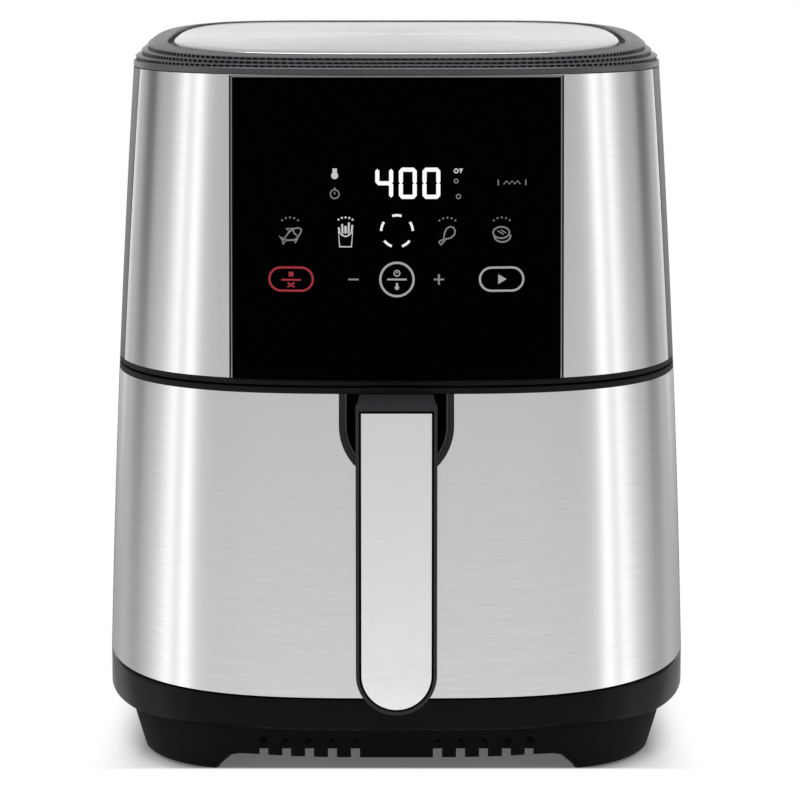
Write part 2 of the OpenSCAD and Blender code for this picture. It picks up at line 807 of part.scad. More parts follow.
module thermal_fuse() {
    color("#d8d2c0") at_body() translate([32 - shield_half, 50, dome_top + fit / 2]) {
        translate([-6, -10, 0]) cube([12, 20, 1]);
        translate([0, 8, 3.4]) rotate([90, 0, 0]) cylinder(r = 2.6, h = 16);
    }
}

module power_board() {
    color("#2c6b3b") at_body() {
        translate([-board_w / 2, board_y - board_d / 2, board_z]) cube([board_w, board_d, board_t]);
        for (x = [-1, 1], y = [-1, 1]) translate([x * (board_w / 2 - 8), board_y + y * (board_d / 2 - 8), 0])
            translate([0, 0, board_z]) cylinder(r = 3, h = board_t + 2);
        translate([-34, board_y - 14, board_z + board_t]) cube([26, 22, 20]);
        translate([6, board_y - 10, board_z + board_t]) cube([18, 16, 14]);
        translate([34, board_y, board_z + board_t]) cylinder(r = 6, h = 18);
        for (x = [-1, 1]) translate([x * (board_w / 2 - 8), shield_half - 8, shield_z + shield_t])
            cylinder(r = 3, h = board_z - shield_z - shield_t);
    }
}

module exhaust_duct() {
    t = 1;
    y0 = liner_back + fit;
    y1 = back_at(0, vent_z + vent_h) - vent_plug - fit;
    color("#a0a1a4") at_body() difference() {
        translate([-vent_w / 2, y0, vent_z]) cube([vent_w, y1 - y0, vent_h]);
        translate([-vent_w / 2 + t, y0 - cut, vent_z + t])
            cube([vent_w - 2 * t, y1 - y0 + 2 * cut, vent_h - 2 * t]);
    }
}

module door_switch() {
    color("#202024") at_body() difference() {
        translate([switch_x - 10, liner_back + fit, switch_z - 6]) cube([20, 14, 12]);
        translate([switch_x, liner_back - cut, switch_z]) rotate([-90, 0, 0])
            cylinder(r = plunger_r + running, h = 11 + cut);
    }
}

module switch_plunger() {
    y0 = basket_back + rim_w + seat;
    color("#c03030") at_body() translate([switch_x, y0, switch_z]) rotate([-90, 0, 0])
        cylinder(r = plunger_r, h = liner_back + 8 - y0);
}

module motor_shaft() {
    color("#c8c9cc") at_body() translate([0, 0, shaft_z]) cylinder(r = shaft_r, h = shaft_top - shaft_z);
}

module fan(r, h) {
    difference() {
        union() {
            cylinder(r = hub_r, h = h);
            translate([0, 0, h - 1.5]) cylinder(r = r, h = 1.5);
            for (k = [0 : blade_count - 1]) rotate([0, 0, 360 * k / blade_count])
                translate([hub_r + 6, -0.6, 0])
                cube([r - hub_r - 8, 1.2, h]);
        }
        translate([0, 0, -cut]) cylinder(r = shaft_r + 0.02, h = h + 2 * cut);
    }
}

module convection_fan() {
    color("#a9aaad") at_body() translate([0, 0, fan_z]) fan(fan_r, fan_h);
}

module cooling_fan() {
    color("#d0d0d0") at_body() translate([0, 0, cooler_z]) fan(cooler_r, cooler_h);
}

module fan_nut() {
    color("#8a8b8e") at_body() translate([0, 0, fan_z - 4 - 0.02]) ring_tube(6, shaft_r + 0.02, 4);
}

// U-shaped opening at the top middle of the drawer front
module recess_shape(r, y0, y1, top) {
    translate([0, -y1, recess_z]) rotate([90, 0, 0]) linear_extrude(y0 - y1) union() {
        circle(r);
        translate([-r, 0]) square([2 * r, top - recess_z]);
    }
}

module drawer_shell() {
    color("#1a1a1c") at_body() difference() {
        union() {
            difference() {
                intersection() {
                    body_solid(drawer_z, skin_top, shell_in);
                    ahead_of(split_y);
                }
                body_solid(drawer_z + shell_t, skin_top - shell_t, shell_in + shell_t);
            }
            intersection() {
                body_solid(skin_top - fit, drawer_top, 0);
                ahead_of(split_y);
            }
        }
        round_box(rim_half + seat, basket_front + rim_w + seat, rear_depth, basket_r + rim_w,
            skin_top - shell_t - 2 * cut,
            drawer_top + cut);
        recess_shape(recess_r + fit, 2 * front_depth, recess_y - fit, drawer_top + cut);
    }
}

module drawer_skin() {
    color("#cfcfd1") at_body() difference() {
        intersection() {
            body_wall(drawer_z, skin_top - 2 * fit, 0, skin_t);
            ahead_of(split_y);
        }
        recess_shape(recess_r + fit, 2 * front_depth, 0, drawer_top + cut);
    }
}

module recess_bezel() {
    color("#0c0c0e") at_body() difference() {
        intersection() {
            recess_shape(recess_r, 2 * front_depth, recess_y, drawer_top);
            body_solid(drawer_z, drawer_top + cut, -0.6);
            translate([-body_w, -2 * body_w, 0]) cube([2 * body_w, 2 * body_w, drawer_top]);
        }
        recess_shape(recess_r - bezel_w, 2 * front_depth, recess_y + 2, drawer_top + cut);
        for (x = [-1, 1]) translate([x * handle_screw_x, -recess_y + cut, handle_top - neck_h / 2])
            rotate([90, 0, 0])
            cylinder(r = screw_r + fit, h = 2 + 2 * cut);
    }
}

// Front outline of the handle: square above, round below
module handle_outline(half, z0, z1) {
    union() {
        translate([0, z0 + half]) circle(half);
        translate([-half, z0 + half]) square([2 * half, z1 - z0 - half]);
    }
}

module handle_grip() {
    half = handle_w / 2;
    color("#1b1b1e") at_body() difference() {
        union() {
            translate([0, -bar_y, 0]) rotate([90, 0, 0]) linear_extrude(handle_t)
                handle_outline(half, handle_z, handle_top);
            translate([-neck_w / 2, -bar_y - cut, handle_top - neck_h])
                cube([neck_w, bar_y + cut - recess_y - 2 - fit / 2, neck_h]);
        }
        translate([0, -grip_y + inlay_t, 0]) rotate([90, 0, 0]) linear_extrude(inlay_t + cut)
            handle_outline(half - inlay_border + fit / 2, handle_z + inlay_border - fit / 2,
                handle_top - inlay_border + fit / 2);
        for (x = [-1, 1]) translate([x * handle_screw_x, -recess_y, handle_top - neck_h / 2])
            rotate([90, 0, 0])
            cylinder(r = screw_r + running, h = 14);
    }
}

module handle_inlay() {
    color("#dcdcde") at_body() translate([0, -grip_y + inlay_t - fit / 2, 0]) rotate([90, 0, 0])
        linear_extrude(inlay_t - fit / 2)
        handle_outline(handle_w / 2 - inlay_border, handle_z + inlay_border, handle_top - inlay_border);
}

module handle_screws() {
    color("#b0b0b0") at_body() for (x = [-1, 1])
        translate([x * handle_screw_x, -recess_y + screw_head_t + fit / 2, handle_top - neck_h / 2])
            rotate([90, 0, 0]) {
            cylinder(r = screw_head_r, h = screw_head_t);
            cylinder(r = screw_r, h = screw_head_t + 13);
        }
}

module basket() {
    half = basket_w / 2;
    color("#2b2b2d") at_body() difference() {
        union() {
            round_box(half, basket_front, basket_back, basket_r, basket_z, rim_z + rim_t);
            round_box(rim_half, basket_front + rim_w, basket_back + rim_w, basket_r + rim_w, rim_z,
                rim_z + rim_t);
        }
        round_box(half - basket_t, basket_front - basket_t, basket_back - basket_t, basket_r - basket_t,
            basket_z + basket_t, rim_z + rim_t + cut);
    }
}

module basket_bracket() {
    half = 30;
    z0 = basket_z + 20;
    h = 40;
    y1 = front_at(half, z0 + h) - shell_in - shell_t - fit - 0.4;
    color("#8a8b8e") at_body() difference() {
        translate([-half, -y1, z0]) cube([2 * half, y1 - basket_front - fit, h]);
        translate([-half + 2, -y1 + 2, z0 - cut])
            cube([2 * half - 4, y1 - basket_front - 4 - fit, h + 2 * cut]);
    }
}

module crisper_tray() {
    cols = floor((tray_half - basket_r / 2) / tray_pitch);
    rows_f = floor((tray_front - basket_r / 2) / tray_pitch);
    rows_b = floor((tray_back - basket_r / 2) / tray_pitch);
    color("#333336") at_body() difference() {
        union() {
            round_box(tray_half, tray_front, tray_back, tray_r, tray_z, tray_z + tray_t);
            difference() {
                round_box(tray_half, tray_front, tray_back, tray_r, tray_z, tray_z + 6);
                round_box(tray_half - 1.2, tray_front - 1.2, tray_back - 1.2, tray_r - 1.2, tray_z,
                    tray_z + 7);
            }
            for (x = [-1, 1], y = [-tray_front + basket_r, tray_back - basket_r])
                translate([x * (tray_half - 12), y, basket_z + basket_t + seat]) cylinder(r = 4,
                    h = tray_lift - seat + cut);
        }
        for (i = [-cols : cols], j = [-rows_f : rows_b]) if (abs(i) + abs(j) > 1 && abs(i) < cols)
            translate([i * tray_pitch - tray_slot / 2, j * tray_pitch - 1.8, tray_z - cut])
                cube([tray_slot, 3.6, tray_t + 1.5 * cut]);
        translate([0, 0, tray_z - cut]) cylinder(r = tray_pitch * 0.8, h = tray_t + 2 * cut);
    }
}

module tray_bumpers() {
    t = tray_gap - seat - fit / 2;
    color("#b03a2e") at_body() for (x = [-1, 1], y = [-tray_front + basket_r + 14, tray_back - basket_r - 14])
        translate([x * (tray_half + fit / 2 + t / 2) - t / 2, y - 8, tray_z]) cube([t, 16, 5]);
}

base_tub();
bottom_cover();
foot_pads();
base_screws();
rear_housing();
rear_vent();
cord_gland();
front_frame();
front_wrap();
panel_trim();
control_panel();
display_board();
display_module();
touch_springs();
vent_collar();
top_frame();
top_plate();
chamber_liner();
drawer_rails();
fan_guard();
guard_posts();
heater_coil();
heater_clips();
heat_shield();
motor_bracket();
fan_motor();
motor_screws();
temperature_sensor();
thermal_fuse();
power_board();
exhaust_duct();
door_switch();
switch_plunger();
motor_shaft();
convection_fan();
cooling_fan();
fan_nut();
drawer_shell();
drawer_skin();
recess_bezel();
handle_grip();
handle_inlay();
handle_screws();
basket();
basket_bracket();
crisper_tray();
tray_bumpers();
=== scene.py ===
# Air fryer: smooth shells, vents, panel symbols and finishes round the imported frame. Metres.
import math

import bmesh
import bpy
import numpy as np
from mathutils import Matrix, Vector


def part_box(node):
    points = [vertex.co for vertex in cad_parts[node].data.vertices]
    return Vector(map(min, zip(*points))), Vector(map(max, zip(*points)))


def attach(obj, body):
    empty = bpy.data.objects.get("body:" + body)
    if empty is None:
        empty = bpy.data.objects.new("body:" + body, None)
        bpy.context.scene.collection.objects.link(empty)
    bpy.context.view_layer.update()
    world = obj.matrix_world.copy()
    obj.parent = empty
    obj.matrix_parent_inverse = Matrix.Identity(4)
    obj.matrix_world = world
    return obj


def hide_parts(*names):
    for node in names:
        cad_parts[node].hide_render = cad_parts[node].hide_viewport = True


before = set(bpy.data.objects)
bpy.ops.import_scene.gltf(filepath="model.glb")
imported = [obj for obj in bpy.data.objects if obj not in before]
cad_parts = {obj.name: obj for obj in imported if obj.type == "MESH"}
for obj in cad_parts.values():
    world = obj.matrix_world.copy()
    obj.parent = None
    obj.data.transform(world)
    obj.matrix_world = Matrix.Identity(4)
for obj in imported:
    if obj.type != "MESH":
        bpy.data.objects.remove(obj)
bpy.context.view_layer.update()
bpy.ops.object.select_all(action="DESELECT")
mm = 0.001

# The form that all the outer shells share: a rounded square that narrows upwards on a tall arc
shaftLow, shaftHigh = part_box("motor_shaft")
centreY = (shaftLow.y + shaftHigh.y) / 2
form = {
    "halfWidth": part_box("rear_housing")[1].x + 0.36 * mm,  # just outside the CAD's wall
    "frontDepth": 146 * mm,
    "rearDepth": 146 * mm,
    "sideRadius": 7000 * mm,
    "sideUpright": -160 * mm,  # the side's arc is upright at this height
    "wallRadius": 5300 * mm,
    "uprightHeight": -61 * mm,  # and the front's and rear's arc at this one
    "frontLean": 1.4,  # the front leans back this many times as much as the rear
    "widthPower": 3.3,
    "frontPower": 2.1,
    "rearPower": 2.6,
    "points": 240,
}
skinThickness = 0.8 * mm
shellInset = 1.0 * mm  # the plastic behind the steel skins
wallThickness = 2.6 * mm
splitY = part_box("drawer_skin")[1].y  # the drawer and the front frame end here, the rear housing begins
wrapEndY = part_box("front_wrap")[1].y
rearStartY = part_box("rear_housing")[0].y
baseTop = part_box("rear_housing")[0].z
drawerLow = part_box("drawer_skin")[0].z
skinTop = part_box("drawer_skin")[1].z
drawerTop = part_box("drawer_shell")[1].z
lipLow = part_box("front_frame")[0].z
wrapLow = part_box("front_wrap")[0].z
panelLow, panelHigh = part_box("control_panel")
panelHigh.z += 0.8 * mm  # up to the collar
collarSlope = 0.028
topSlope = 0.068
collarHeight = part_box("front_frame")[1].z + collarSlope * (centreY - splitY) + 0.5 * mm
collarTop = collarHeight + 3.1 * mm
ventRise = 9.3 * mm
frameHeight = collarTop + ventRise
ventInset = 8 * mm  # how far the vent's rows step in, at the ends and at the sides
ventSideInset = 9 * mm
bodyPowers = (form["widthPower"], form["frontPower"], form["rearPower"])
capSquarer = {"sideFront": 0.4, "sideRear": 2.7, "front": 0.28, "rear": 0.3}  # how much squarer the cap ends


def outlineXY(at, side=0.0, front=0.0, rear=0.0, powers=bodyPowers):
    # the rounded square at the given angles, set in at its sides, front and rear
    widthPower, frontPower, rearPower = powers
    c, s = np.cos(at), np.sin(at)
    depth = np.where(s < 0, form["frontDepth"] - front, form["rearDepth"] - rear)
    power = np.where(s < 0, frontPower, rearPower)
    x = np.sign(c) * (form["halfWidth"] - side) * np.abs(c) ** (2 / widthPower)
    y = np.sign(s) * depth * np.abs(s) ** (2 / power)
    return x, y


def runAlong(x, y):
    # distance from the first point along a line of points
    return np.concatenate([[0], np.cumsum(np.hypot(np.diff(x), np.diff(y)))])


def spacedAngles(count):
    # angles that space the points of the outline evenly, quarter by quarter
    found = []
    for quarter in range(4):
        fine = np.linspace(quarter, quarter + 1, 4001) * math.pi / 2
        run = runAlong(*outlineXY(fine))
        found.append(np.interp(np.arange(count // 4) * run[-1] / (count // 4), run, fine))
    return np.concatenate(found)


def smoothStep(value, low, high):
    share = np.clip((value - low) / (high - low), 0, 1)
    return share * share * (3 - 2 * share)


def wallInset(z):
    rise = z - form["uprightHeight"]
    return (rise**2 - (baseTop - form["uprightHeight"]) ** 2) / (2 * form["wallRadius"])


def sideInset(z):
    rise = z - form["sideUpright"]
    return (rise**2 - (baseTop - form["sideUpright"]) ** 2) / (2 * form["sideRadius"])


angles = spacedAngles(form["points"])


def placeRing(x, y, z, slope=0.0):
    return np.stack([x, y + centreY, z + slope * y + 0 * x], axis=1)


def bodyRing(z, inset=0.0, slope=0.0):
    # outline of the body at a height, set in from the wall
    c = wallInset(z)
    x, y = outlineXY(angles, sideInset(z) + inset, form["frontLean"] * c + inset, c + inset)
    return placeRing(x, y, z, slope)


def capRing(share, inset, z, slope, at=None, wider=0.0):
    # from the collar (share 0) to the squarer top frame (share 1)
    at = angles if at is None else at
    c = wallInset(collarHeight)
    d = share * ventInset + inset
    squarer = np.where(np.sin(at) < 0, capSquarer["sideFront"], capSquarer["sideRear"]) * share
    powers = (bodyPowers[0] + squarer, bodyPowers[1] + capSquarer["front"] * share,
              bodyPowers[2] + capSquarer["rear"] * share)
    side = sideInset(collarHeight) + share * ventSideInset + inset - wider
    x, y = outlineXY(at, side, form["frontLean"] * c + d, c + d, powers)
    return placeRing(x, y, z, slope)


def roundBoxRing(half, front, back, corner, z):
    # upright rounded box seen from the middle of the body, with a point for each point of the outline
    outline = bodyRing(baseTop)
    points = []
    for px, py in zip(outline[:, 0], outline[:, 1] - centreY):
        low, high = 0.0, 1.5
        for _ in range(30):
            t = (low + high) / 2
            overX = max(abs(px * t) - half + corner, 0)
            overY = max(abs(py * t - (front + back) / 2) - (back - front) / 2 + corner, 0)
            low, high = (t, high) if np.hypot(overX, overY) < corner else (low, t)
        points.append((px * low, py * low + centreY, z))
    return np.array(points)


def cornerRing(low, high, corner, z, perCorner=12):
    # rounded rectangle with the same number of points at any size
    points = []
    for k, (cx, cy) in enumerate([(high[0], high[1]), (low[0], high[1]), (low[0], low[1]), (high[0], low[1])]):
        sx = 1 if k in (0, 3) else -1
        sy = 1 if k in (0, 1) else -1
        for step in range(perCorner + 1):
            turn = math.pi / 2 * (k + step / perCorner)
            points.append((cx + (math.cos(turn) - sx) * corner, cy + (math.sin(turn) - sy) * corner, z))
    return np.array(points)


def wallLevels(low, high, count, inset, slope):
    # rings up a wall, level at the bottom and sloping at the top
    shares = [k / (count - 1) for k in range(count)]
    return [bodyRing(low + (high - low) * s, inset, slope * s) for s in shares]


def frontY(x, z, inset=0.0):
    # the front wall's y, where the wrap has height z
    y = -form["frontDepth"]
    for _ in range(4):
        share = np.clip((z - wrapLow) / (collarHeight - wrapLow), 0, 1)
        base = z - collarSlope * share * y
        c = wallInset(base)
        reach = 1 - (np.abs(x) / (form["halfWidth"] - sideInset(base) - inset)) ** form["widthPower"]
        y = -(form["frontDepth"] - form["frontLean"] * c - inset) * reach ** (1 / form["frontPower"])
    return centreY + y


def startPiece(name):
    piece = bpy.context.object
    piece.name = piece.data.name = name
    return piece


def pick(piece):
    bpy.ops.object.select_all(action="DESELECT")
    piece.select_set(True)
    bpy.context.view_layer.objects.active = piece


def moveRing(piece, ring):
    # the selected points go to their places on the ring
    mesh = bmesh.from_edit_mesh(piece.data)
    step = mesh.verts.layers.int["step"]
    for vert in mesh.verts:
        if vert.select:
            vert.co = ring[vert[step]]
    bmesh.update_edit_mesh(piece.data)


def sweepRings(name, rings, closed=True):
    # a circle takes the first outline's shape, is extruded from outline to outline, and is closed or capped
    bpy.ops.object.select_all(action="DESELECT")
    bpy.ops.mesh.primitive_circle_add(vertices=len(rings[0]), radius=form["halfWidth"])
    piece = startPiece(name)
    bpy.ops.object.mode_set(mode="EDIT")
    bpy.ops.mesh.select_all(action="SELECT")
    mesh = bmesh.from_edit_mesh(piece.data)
    step = mesh.verts.layers.int.new("step")
    for index, vert in enumerate(mesh.verts):
        vert[step] = index
    bmesh.update_edit_mesh(piece.data)
    moveRing(piece, rings[0])
    for ring in list(rings[1:]) + ([rings[0]] if closed else []):
        bpy.ops.mesh.extrude_region_move()
        moveRing(piece, ring)
    if not closed:
        bpy.ops.mesh.select_all(action="DESELECT")
        bpy.ops.mesh.select_non_manifold()
        bpy.ops.mesh.fill_holes(sides=0)
    bpy.ops.mesh.select_all(action="SELECT")
    bpy.ops.mesh.remove_doubles(threshold=1e-6)
    bpy.ops.mesh.normals_make_consistent(inside=False)
    bpy.ops.object.mode_set(mode="OBJECT")
    piece.data.attributes.remove(piece.data.attributes["step"])
    return piece


def cutAt(piece, y, keepFront):
    # cuts the piece across the body and closes the cut
    pick(piece)
    bpy.ops.object.mode_set(mode="EDIT")
    bpy.ops.mesh.select_all(action="SELECT")
    bpy.ops.mesh.bisect(plane_co=(0, y, 0), plane_no=(0, 1, 0), use_fill=True, clear_inner=not keepFront,
                        clear_outer=keepFront)
    bpy.ops.mesh.select_all(action="SELECT")
    bpy.ops.mesh.normals_make_consistent(inside=False)
    bpy.ops.object.mode_set(mode="OBJECT")


def applyModifier(piece, kind, **settings):
    pick(piece)
    modifier = piece.modifiers.new(kind.lower(), kind)
    for key, value in settings.items():
        setattr(modifier, key, value)
    bpy.ops.object.modifier_apply(modifier=modifier.name)


def combine(piece, other, operation="DIFFERENCE"):
    applyModifier(piece, "BOOLEAN", operation=operation, object=other, solver="EXACT")
    bpy.data.objects.remove(other)


def softenEdges(piece, width, segments=2, angle=35):
    applyModifier(piece, "BEVEL", width=width, segments=segments, limit_method="ANGLE",
                  angle_limit=math.radians(angle), use_clamp_overlap=True, harden_normals=False)


def weighNormals(piece):
    # flat faces keep their own direction, so reflections run clean up to the openings
    applyModifier(piece, "WEIGHTED_NORMAL", keep_sharp=True, weight=80)


def settle(piece):
    pick(piece)
    bpy.ops.object.transform_apply(location=True, rotation=True, scale=True)


def addBox(name, low, high):
    bpy.ops.object.select_all(action="DESELECT")
    size = [b - a for a, b in zip(low, high)]
    bpy.ops.mesh.primitive_cube_add(size=1, location=[(a + b) / 2 for a, b in zip(low, high)], scale=size)
    piece = startPiece(name)
    settle(piece)
    return piece


def addRod(name, centre, radius, length, sides):
    # a rod from front to back
    bpy.ops.object.select_all(action="DESELECT")
    bpy.ops.mesh.primitive_cylinder_add(vertices=sides, radius=radius, depth=length, location=centre,
                                        rotation=(math.pi / 2, 0, 0))
    piece = startPiece(name)
    settle(piece)
    return piece


def joinPieces(name, pieces):
    bpy.ops.object.select_all(action="DESELECT")
    for piece in pieces:
        piece.select_set(True)
    bpy.context.view_layer.objects.active = pieces[0]
    bpy.ops.object.join()
    return startPiece(name)


def copyPiece(piece, name):
    copy = bpy.data.objects.new(name, piece.data.copy())
    bpy.context.collection.objects.link(copy)
    return copy


def finishPiece(piece, body, finish, nodes=(), smooth=35):
    pick(piece)
    bpy.ops.object.shade_smooth_by_angle(angle=math.radians(smooth))
    piece.data.materials.clear()
    piece.data.materials.append(finishes[finish])
    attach(piece, body)
    if nodes:
        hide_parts(*nodes)
    return piece


def toLinear(hexColour):
    # sRGB hex to the linear colour that shaders take
    parts = [int(hexColour[i:i + 2], 16) / 255 for i in (1, 3, 5)]
    return tuple(p / 12.92 if p <= 0.04045 else ((p + 0.055) / 1.055) ** 2.4 for p in parts) + (1.0,)


def addNode(tree, kind, values=None, links=None):
    node = tree.nodes.new(kind)
    for key, value in (values or {}).items():
        if isinstance(key, int) or key in node.inputs:
            node.inputs[key].default_value = value
        else:
            setattr(node, key, value)
    for key, socket in (links or {}).items():
        tree.links.new(socket, node.inputs[key])
    return node


finishes = {}


def newMaterial(name):
    # an empty material, listed by its name
    finishes[name] = bpy.data.materials.new(name)
    finishes[name].use_nodes = True
    finishes[name].node_tree.nodes.clear()
    return finishes[name].node_tree


def grainNoise(tree, size, detail=3.0):
    # noise whose grains measure size (x, y, z) in millimetres, in the object's own space
    place = addNode(tree, "ShaderNodeTexCoord")
    scale = addNode(tree, "ShaderNodeMapping", {"Scale": [1 / (s * mm) for s in size]},
                    {"Vector": place.outputs["Object"]})
    noise = addNode(tree, "ShaderNodeTexNoise", {"Scale": 1.0, "Detail": detail, "Roughness": 0.55},
                    {"Vector": scale.outputs["Vector"]})
    return noise.outputs["Fac"]


noiseSpan = {"From Min": 0.3, "From Max": 0.7}  # nearly all of a noise's values lie in here
steel = {"broader": 5, "broadShare": 0.3, "uneven": 0.05, "lineDepth": 0.02 * mm}
plastic = {"mottle": 30, "uneven": 0.04, "grainDepth": 0.04 * mm}
backlight = {"screen": 0.25, "dimmest": 0.94, "unlit": "#1a1a1a"}


def brushedSteel(name, light, dark, roughness, grain, anisotropy, relief):
    # drawn lines that blur a reflection across them and keep it sharp along them; grain in millimetres
    tree = newMaterial(name)
    fine = grainNoise(tree, grain, detail=4)
    broad = grainNoise(tree, [g * steel["broader"] for g in grain], detail=2)
    part = addNode(tree, "ShaderNodeMath", {"operation": "MULTIPLY", 1: steel["broadShare"]}, {0: broad})
    both = addNode(tree, "ShaderNodeMath", {"operation": "MULTIPLY_ADD", 1: 1 - steel["broadShare"]},
                   {0: fine, 2: part.outputs[0]})
    tint = addNode(tree, "ShaderNodeMix", {"data_type": "RGBA", 6: toLinear(dark), 7: toLinear(light)},
                   {"Factor": both.outputs[0]})
    gloss = addNode(tree, "ShaderNodeMapRange",
                    {**noiseSpan, "To Min": roughness + steel["uneven"],
                     "To Max": roughness - steel["uneven"]},
                    {"Value": both.outputs[0]})
    bump = addNode(tree, "ShaderNodeBump", {"Strength": relief, "Distance": steel["lineDepth"]},
                   {"Height": fine})
    values = {"Metallic": 1.0}
    links = {"Base Color": tint.outputs[2], "Roughness": gloss.outputs["Result"],
             "Normal": bump.outputs["Normal"]}
    if anisotropy:
        tangent = addNode(tree, "ShaderNodeTangent", {"direction_type": "RADIAL", "axis": "Z"})
        values.update({"Anisotropic": anisotropy, "Anisotropic Rotation": 0.25})
        links["Tangent"] = tangent.outputs["Tangent"]
    shader = addNode(tree, "ShaderNodeBsdfPrincipled", values, links)
    addNode(tree, "ShaderNodeOutputMaterial", {"target": "ALL"}, {"Surface": shader.outputs["BSDF"]})


def mouldedPlastic(name, colour, paler, roughness, specular, grain, relief, ior=1.53):
    # injection-moulded: the tool's texture, its grain in millimetres, and a slightly uneven gloss
    tree = newMaterial(name)
    texture = grainNoise(tree, (grain,) * 3)
    mottle = grainNoise(tree, (plastic["mottle"],) * 3, detail=2)
    tint = addNode(tree, "ShaderNodeMix", {"data_type": "RGBA", 6: toLinear(colour), 7: toLinear(paler)},
                   {"Factor": mottle})
    gloss = addNode(tree, "ShaderNodeMapRange", {**noiseSpan, "To Min": roughness - plastic["uneven"],
                                                 "To Max": roughness + plastic["uneven"]}, {"Value": texture})
    bump = addNode(tree, "ShaderNodeBump", {"Strength": relief, "Distance": plastic["grainDepth"]},
                   {"Height": texture})
    shader = addNode(tree, "ShaderNodeBsdfPrincipled", {"IOR": ior, "Specular IOR Level": specular},
                     {"Base Color": tint.outputs[2], "Roughness": gloss.outputs["Result"],
                      "Normal": bump.outputs["Normal"]})
    addNode(tree, "ShaderNodeOutputMaterial", {"target": "ALL"}, {"Surface": shader.outputs["BSDF"]})


def litPrint(name, colour, strength):
    # back-lit printed mark: even light through a fine printed screen
    tree = newMaterial(name)
    screen = grainNoise(tree, (backlight["screen"],) * 3, detail=1)
    glow = addNode(tree, "ShaderNodeMapRange", {**noiseSpan, "To Min": strength * backlight["dimmest"],
                                                "To Max": strength}, {"Value": screen})
    shader = addNode(tree, "ShaderNodeBsdfPrincipled",
                     {"Base Color": toLinear(backlight["unlit"]), "Roughness": 0.6, "Specular IOR Level": 0.05,
                      "Emission Color": toLinear(colour)}, {"Emission Strength": glow.outputs["Result"]})
    addNode(tree, "ShaderNodeOutputMaterial", {"target": "ALL"}, {"Surface": shader.outputs["BSDF"]})


# 304 stainless, brushed round the body: reflections run up and down in clean bands. The drawn lines
# are about 9 mm long; their real spacing of 0.05 mm is too fine to show, so they are drawn at 0.3 mm
brushedSteel("brushedStainless", "#cfcfd1", "#c5c5c7", 0.22, (9, 9, 0.3), 0.98, 0.12)
# the same sheet brushed across the handle's inlay, more scattered, and painted a little paler than the skin as
# painted light
brushedSteel("inlayLitSteel", "#e6e6e8", "#dadadd", 0.4, (3, 3, 0.5), 0.5, 0.25)
# the top plate's sheet, brushed from side to side: pale, with a sheen that spreads across the lines
brushedSteel("topSteel", "#dededf", "#cfd0d1", 0.22, (14, 0.4, 0.4), 0.3, 0.2)
# polished tool, gloss black ABS: clear but weak reflections
mouldedPlastic("glossBlackAbs", "#131315", "#171719", 0.12, 0.026, 0.8, 0.01)
# spark-eroded matt black ABS, grain about 0.5 mm across: soft even grey where light falls
mouldedPlastic("mattBlackAbs", "#1b1b1d", "#202022", 0.5, 0.03, 0.5, 0.3)
# the housing's black ABS, a finer grain: a soft sheen where seen nearly edge on
mouldedPlastic("houseBlackAbs", "#1b1b1d", "#202022", 0.28, 0.14, 0.4, 0.15)
# satin dark grey ABS of the cap: fine texture, pale where seen at a low angle
mouldedPlastic("satinGreyAbs", "#3e3e43", "#46464b", 0.3, 0.4, 0.5, 0.08)
# the same ABS on the cap's frame, a little coarser: duller, painted a little darker than the collar as painted
# shade, an even mid grey when seen nearly edge on
mouldedPlastic("frameShadedGreyAbs", "#39393e", "#404045", 0.33, 0.45, 0.5, 0.15)
# charcoal ABS of the handle and the recess's rim: smooth, slightly satin
mouldedPlastic("charcoalAbs", "#2d2d30", "#333337", 0.3, 0.09, 0.5, 0.06)
# glass printed black on its back: deep and even
mouldedPlastic("blackGlass", "#010101", "#010102", 0.05, 0.004, 3, 0.0)
# bright-rolled trim strip: a thin clear line of light
brushedSteel("trimSteel", "#8f8f92", "#818184", 0.3, (6, 6, 0.4), 0.0, 0.05)
# white print lit from behind at full strength: the display's digits
litPrint("litWhite", "#ffffff", 1.0)
# marks lit from behind at four weaker levels
litPrint("litBright", "#ffffff", 0.88)
litPrint("litPale", "#f4f4f6", 0.62)
litPrint("litMid", "#eeeef0", 0.42)
litPrint("litGrey", "#e9e9ee", 0.26)
# translucent red print: a soft even red
litPrint("litRed", "#d8404c", 0.48)
# the cap's ABS on the slots' backs, painted a darker grey as painted shade inside the slots, dull as moulded:
# grey where a little light falls in
mouldedPlastic("slotShadeAbs", "#36363b", "#3d3d42", 0.6, 0.02, 0.5, 0.1)
# black ABS behind the recess's rim and under the inlay, near black as painted shade in the recess and in the
# groove round the inlay, dull as moulded: nearly no light comes back
mouldedPlastic("wellShadeAbs", "#040404", "#060606", 0.6, 0.02, 0.5, 0.1)
# the skirt's coarser spark-eroded grain, painted a little darker than the housing: painted shade on the skirt
# and legs under the body
mouldedPlastic("skirtShadedAbs", "#141416", "#19191b", 0.5, 0.01, 0.6, 0.35)
# moulded EPDM rubber: dull, with a fine bloom
mouldedPlastic("blackRubber", "#1a1a1a", "#222221", 0.75, 0.3, 0.6, 0.5, 1.52)
# zinc-plated steel of screws and nut: turned, with faint streaks
brushedSteel("zincScrew", "#b9bbbd", "#8f9193", 0.3, (0.6, 0.6, 0.6), 0.0, 0.3)
# aluminised steel sheet, rolled: long soft streaks and a broad mottle
brushedSteel("aluminisedSheet", "#b4b5b6", "#97989a", 0.36, (12, 2, 2), 0.0, 0.15)
# drawn spring steel: fine streaks along the wire
brushedSteel("springSteel", "#a7a8ab", "#87888b", 0.3, (1.5, 1.5, 4), 0.0, 0.1)
# incoloy sheath, browned by heat in patches
brushedSteel("heaterSheath", "#6f6a66", "#4a403a", 0.48, (7, 7, 7), 0.0, 0.3)
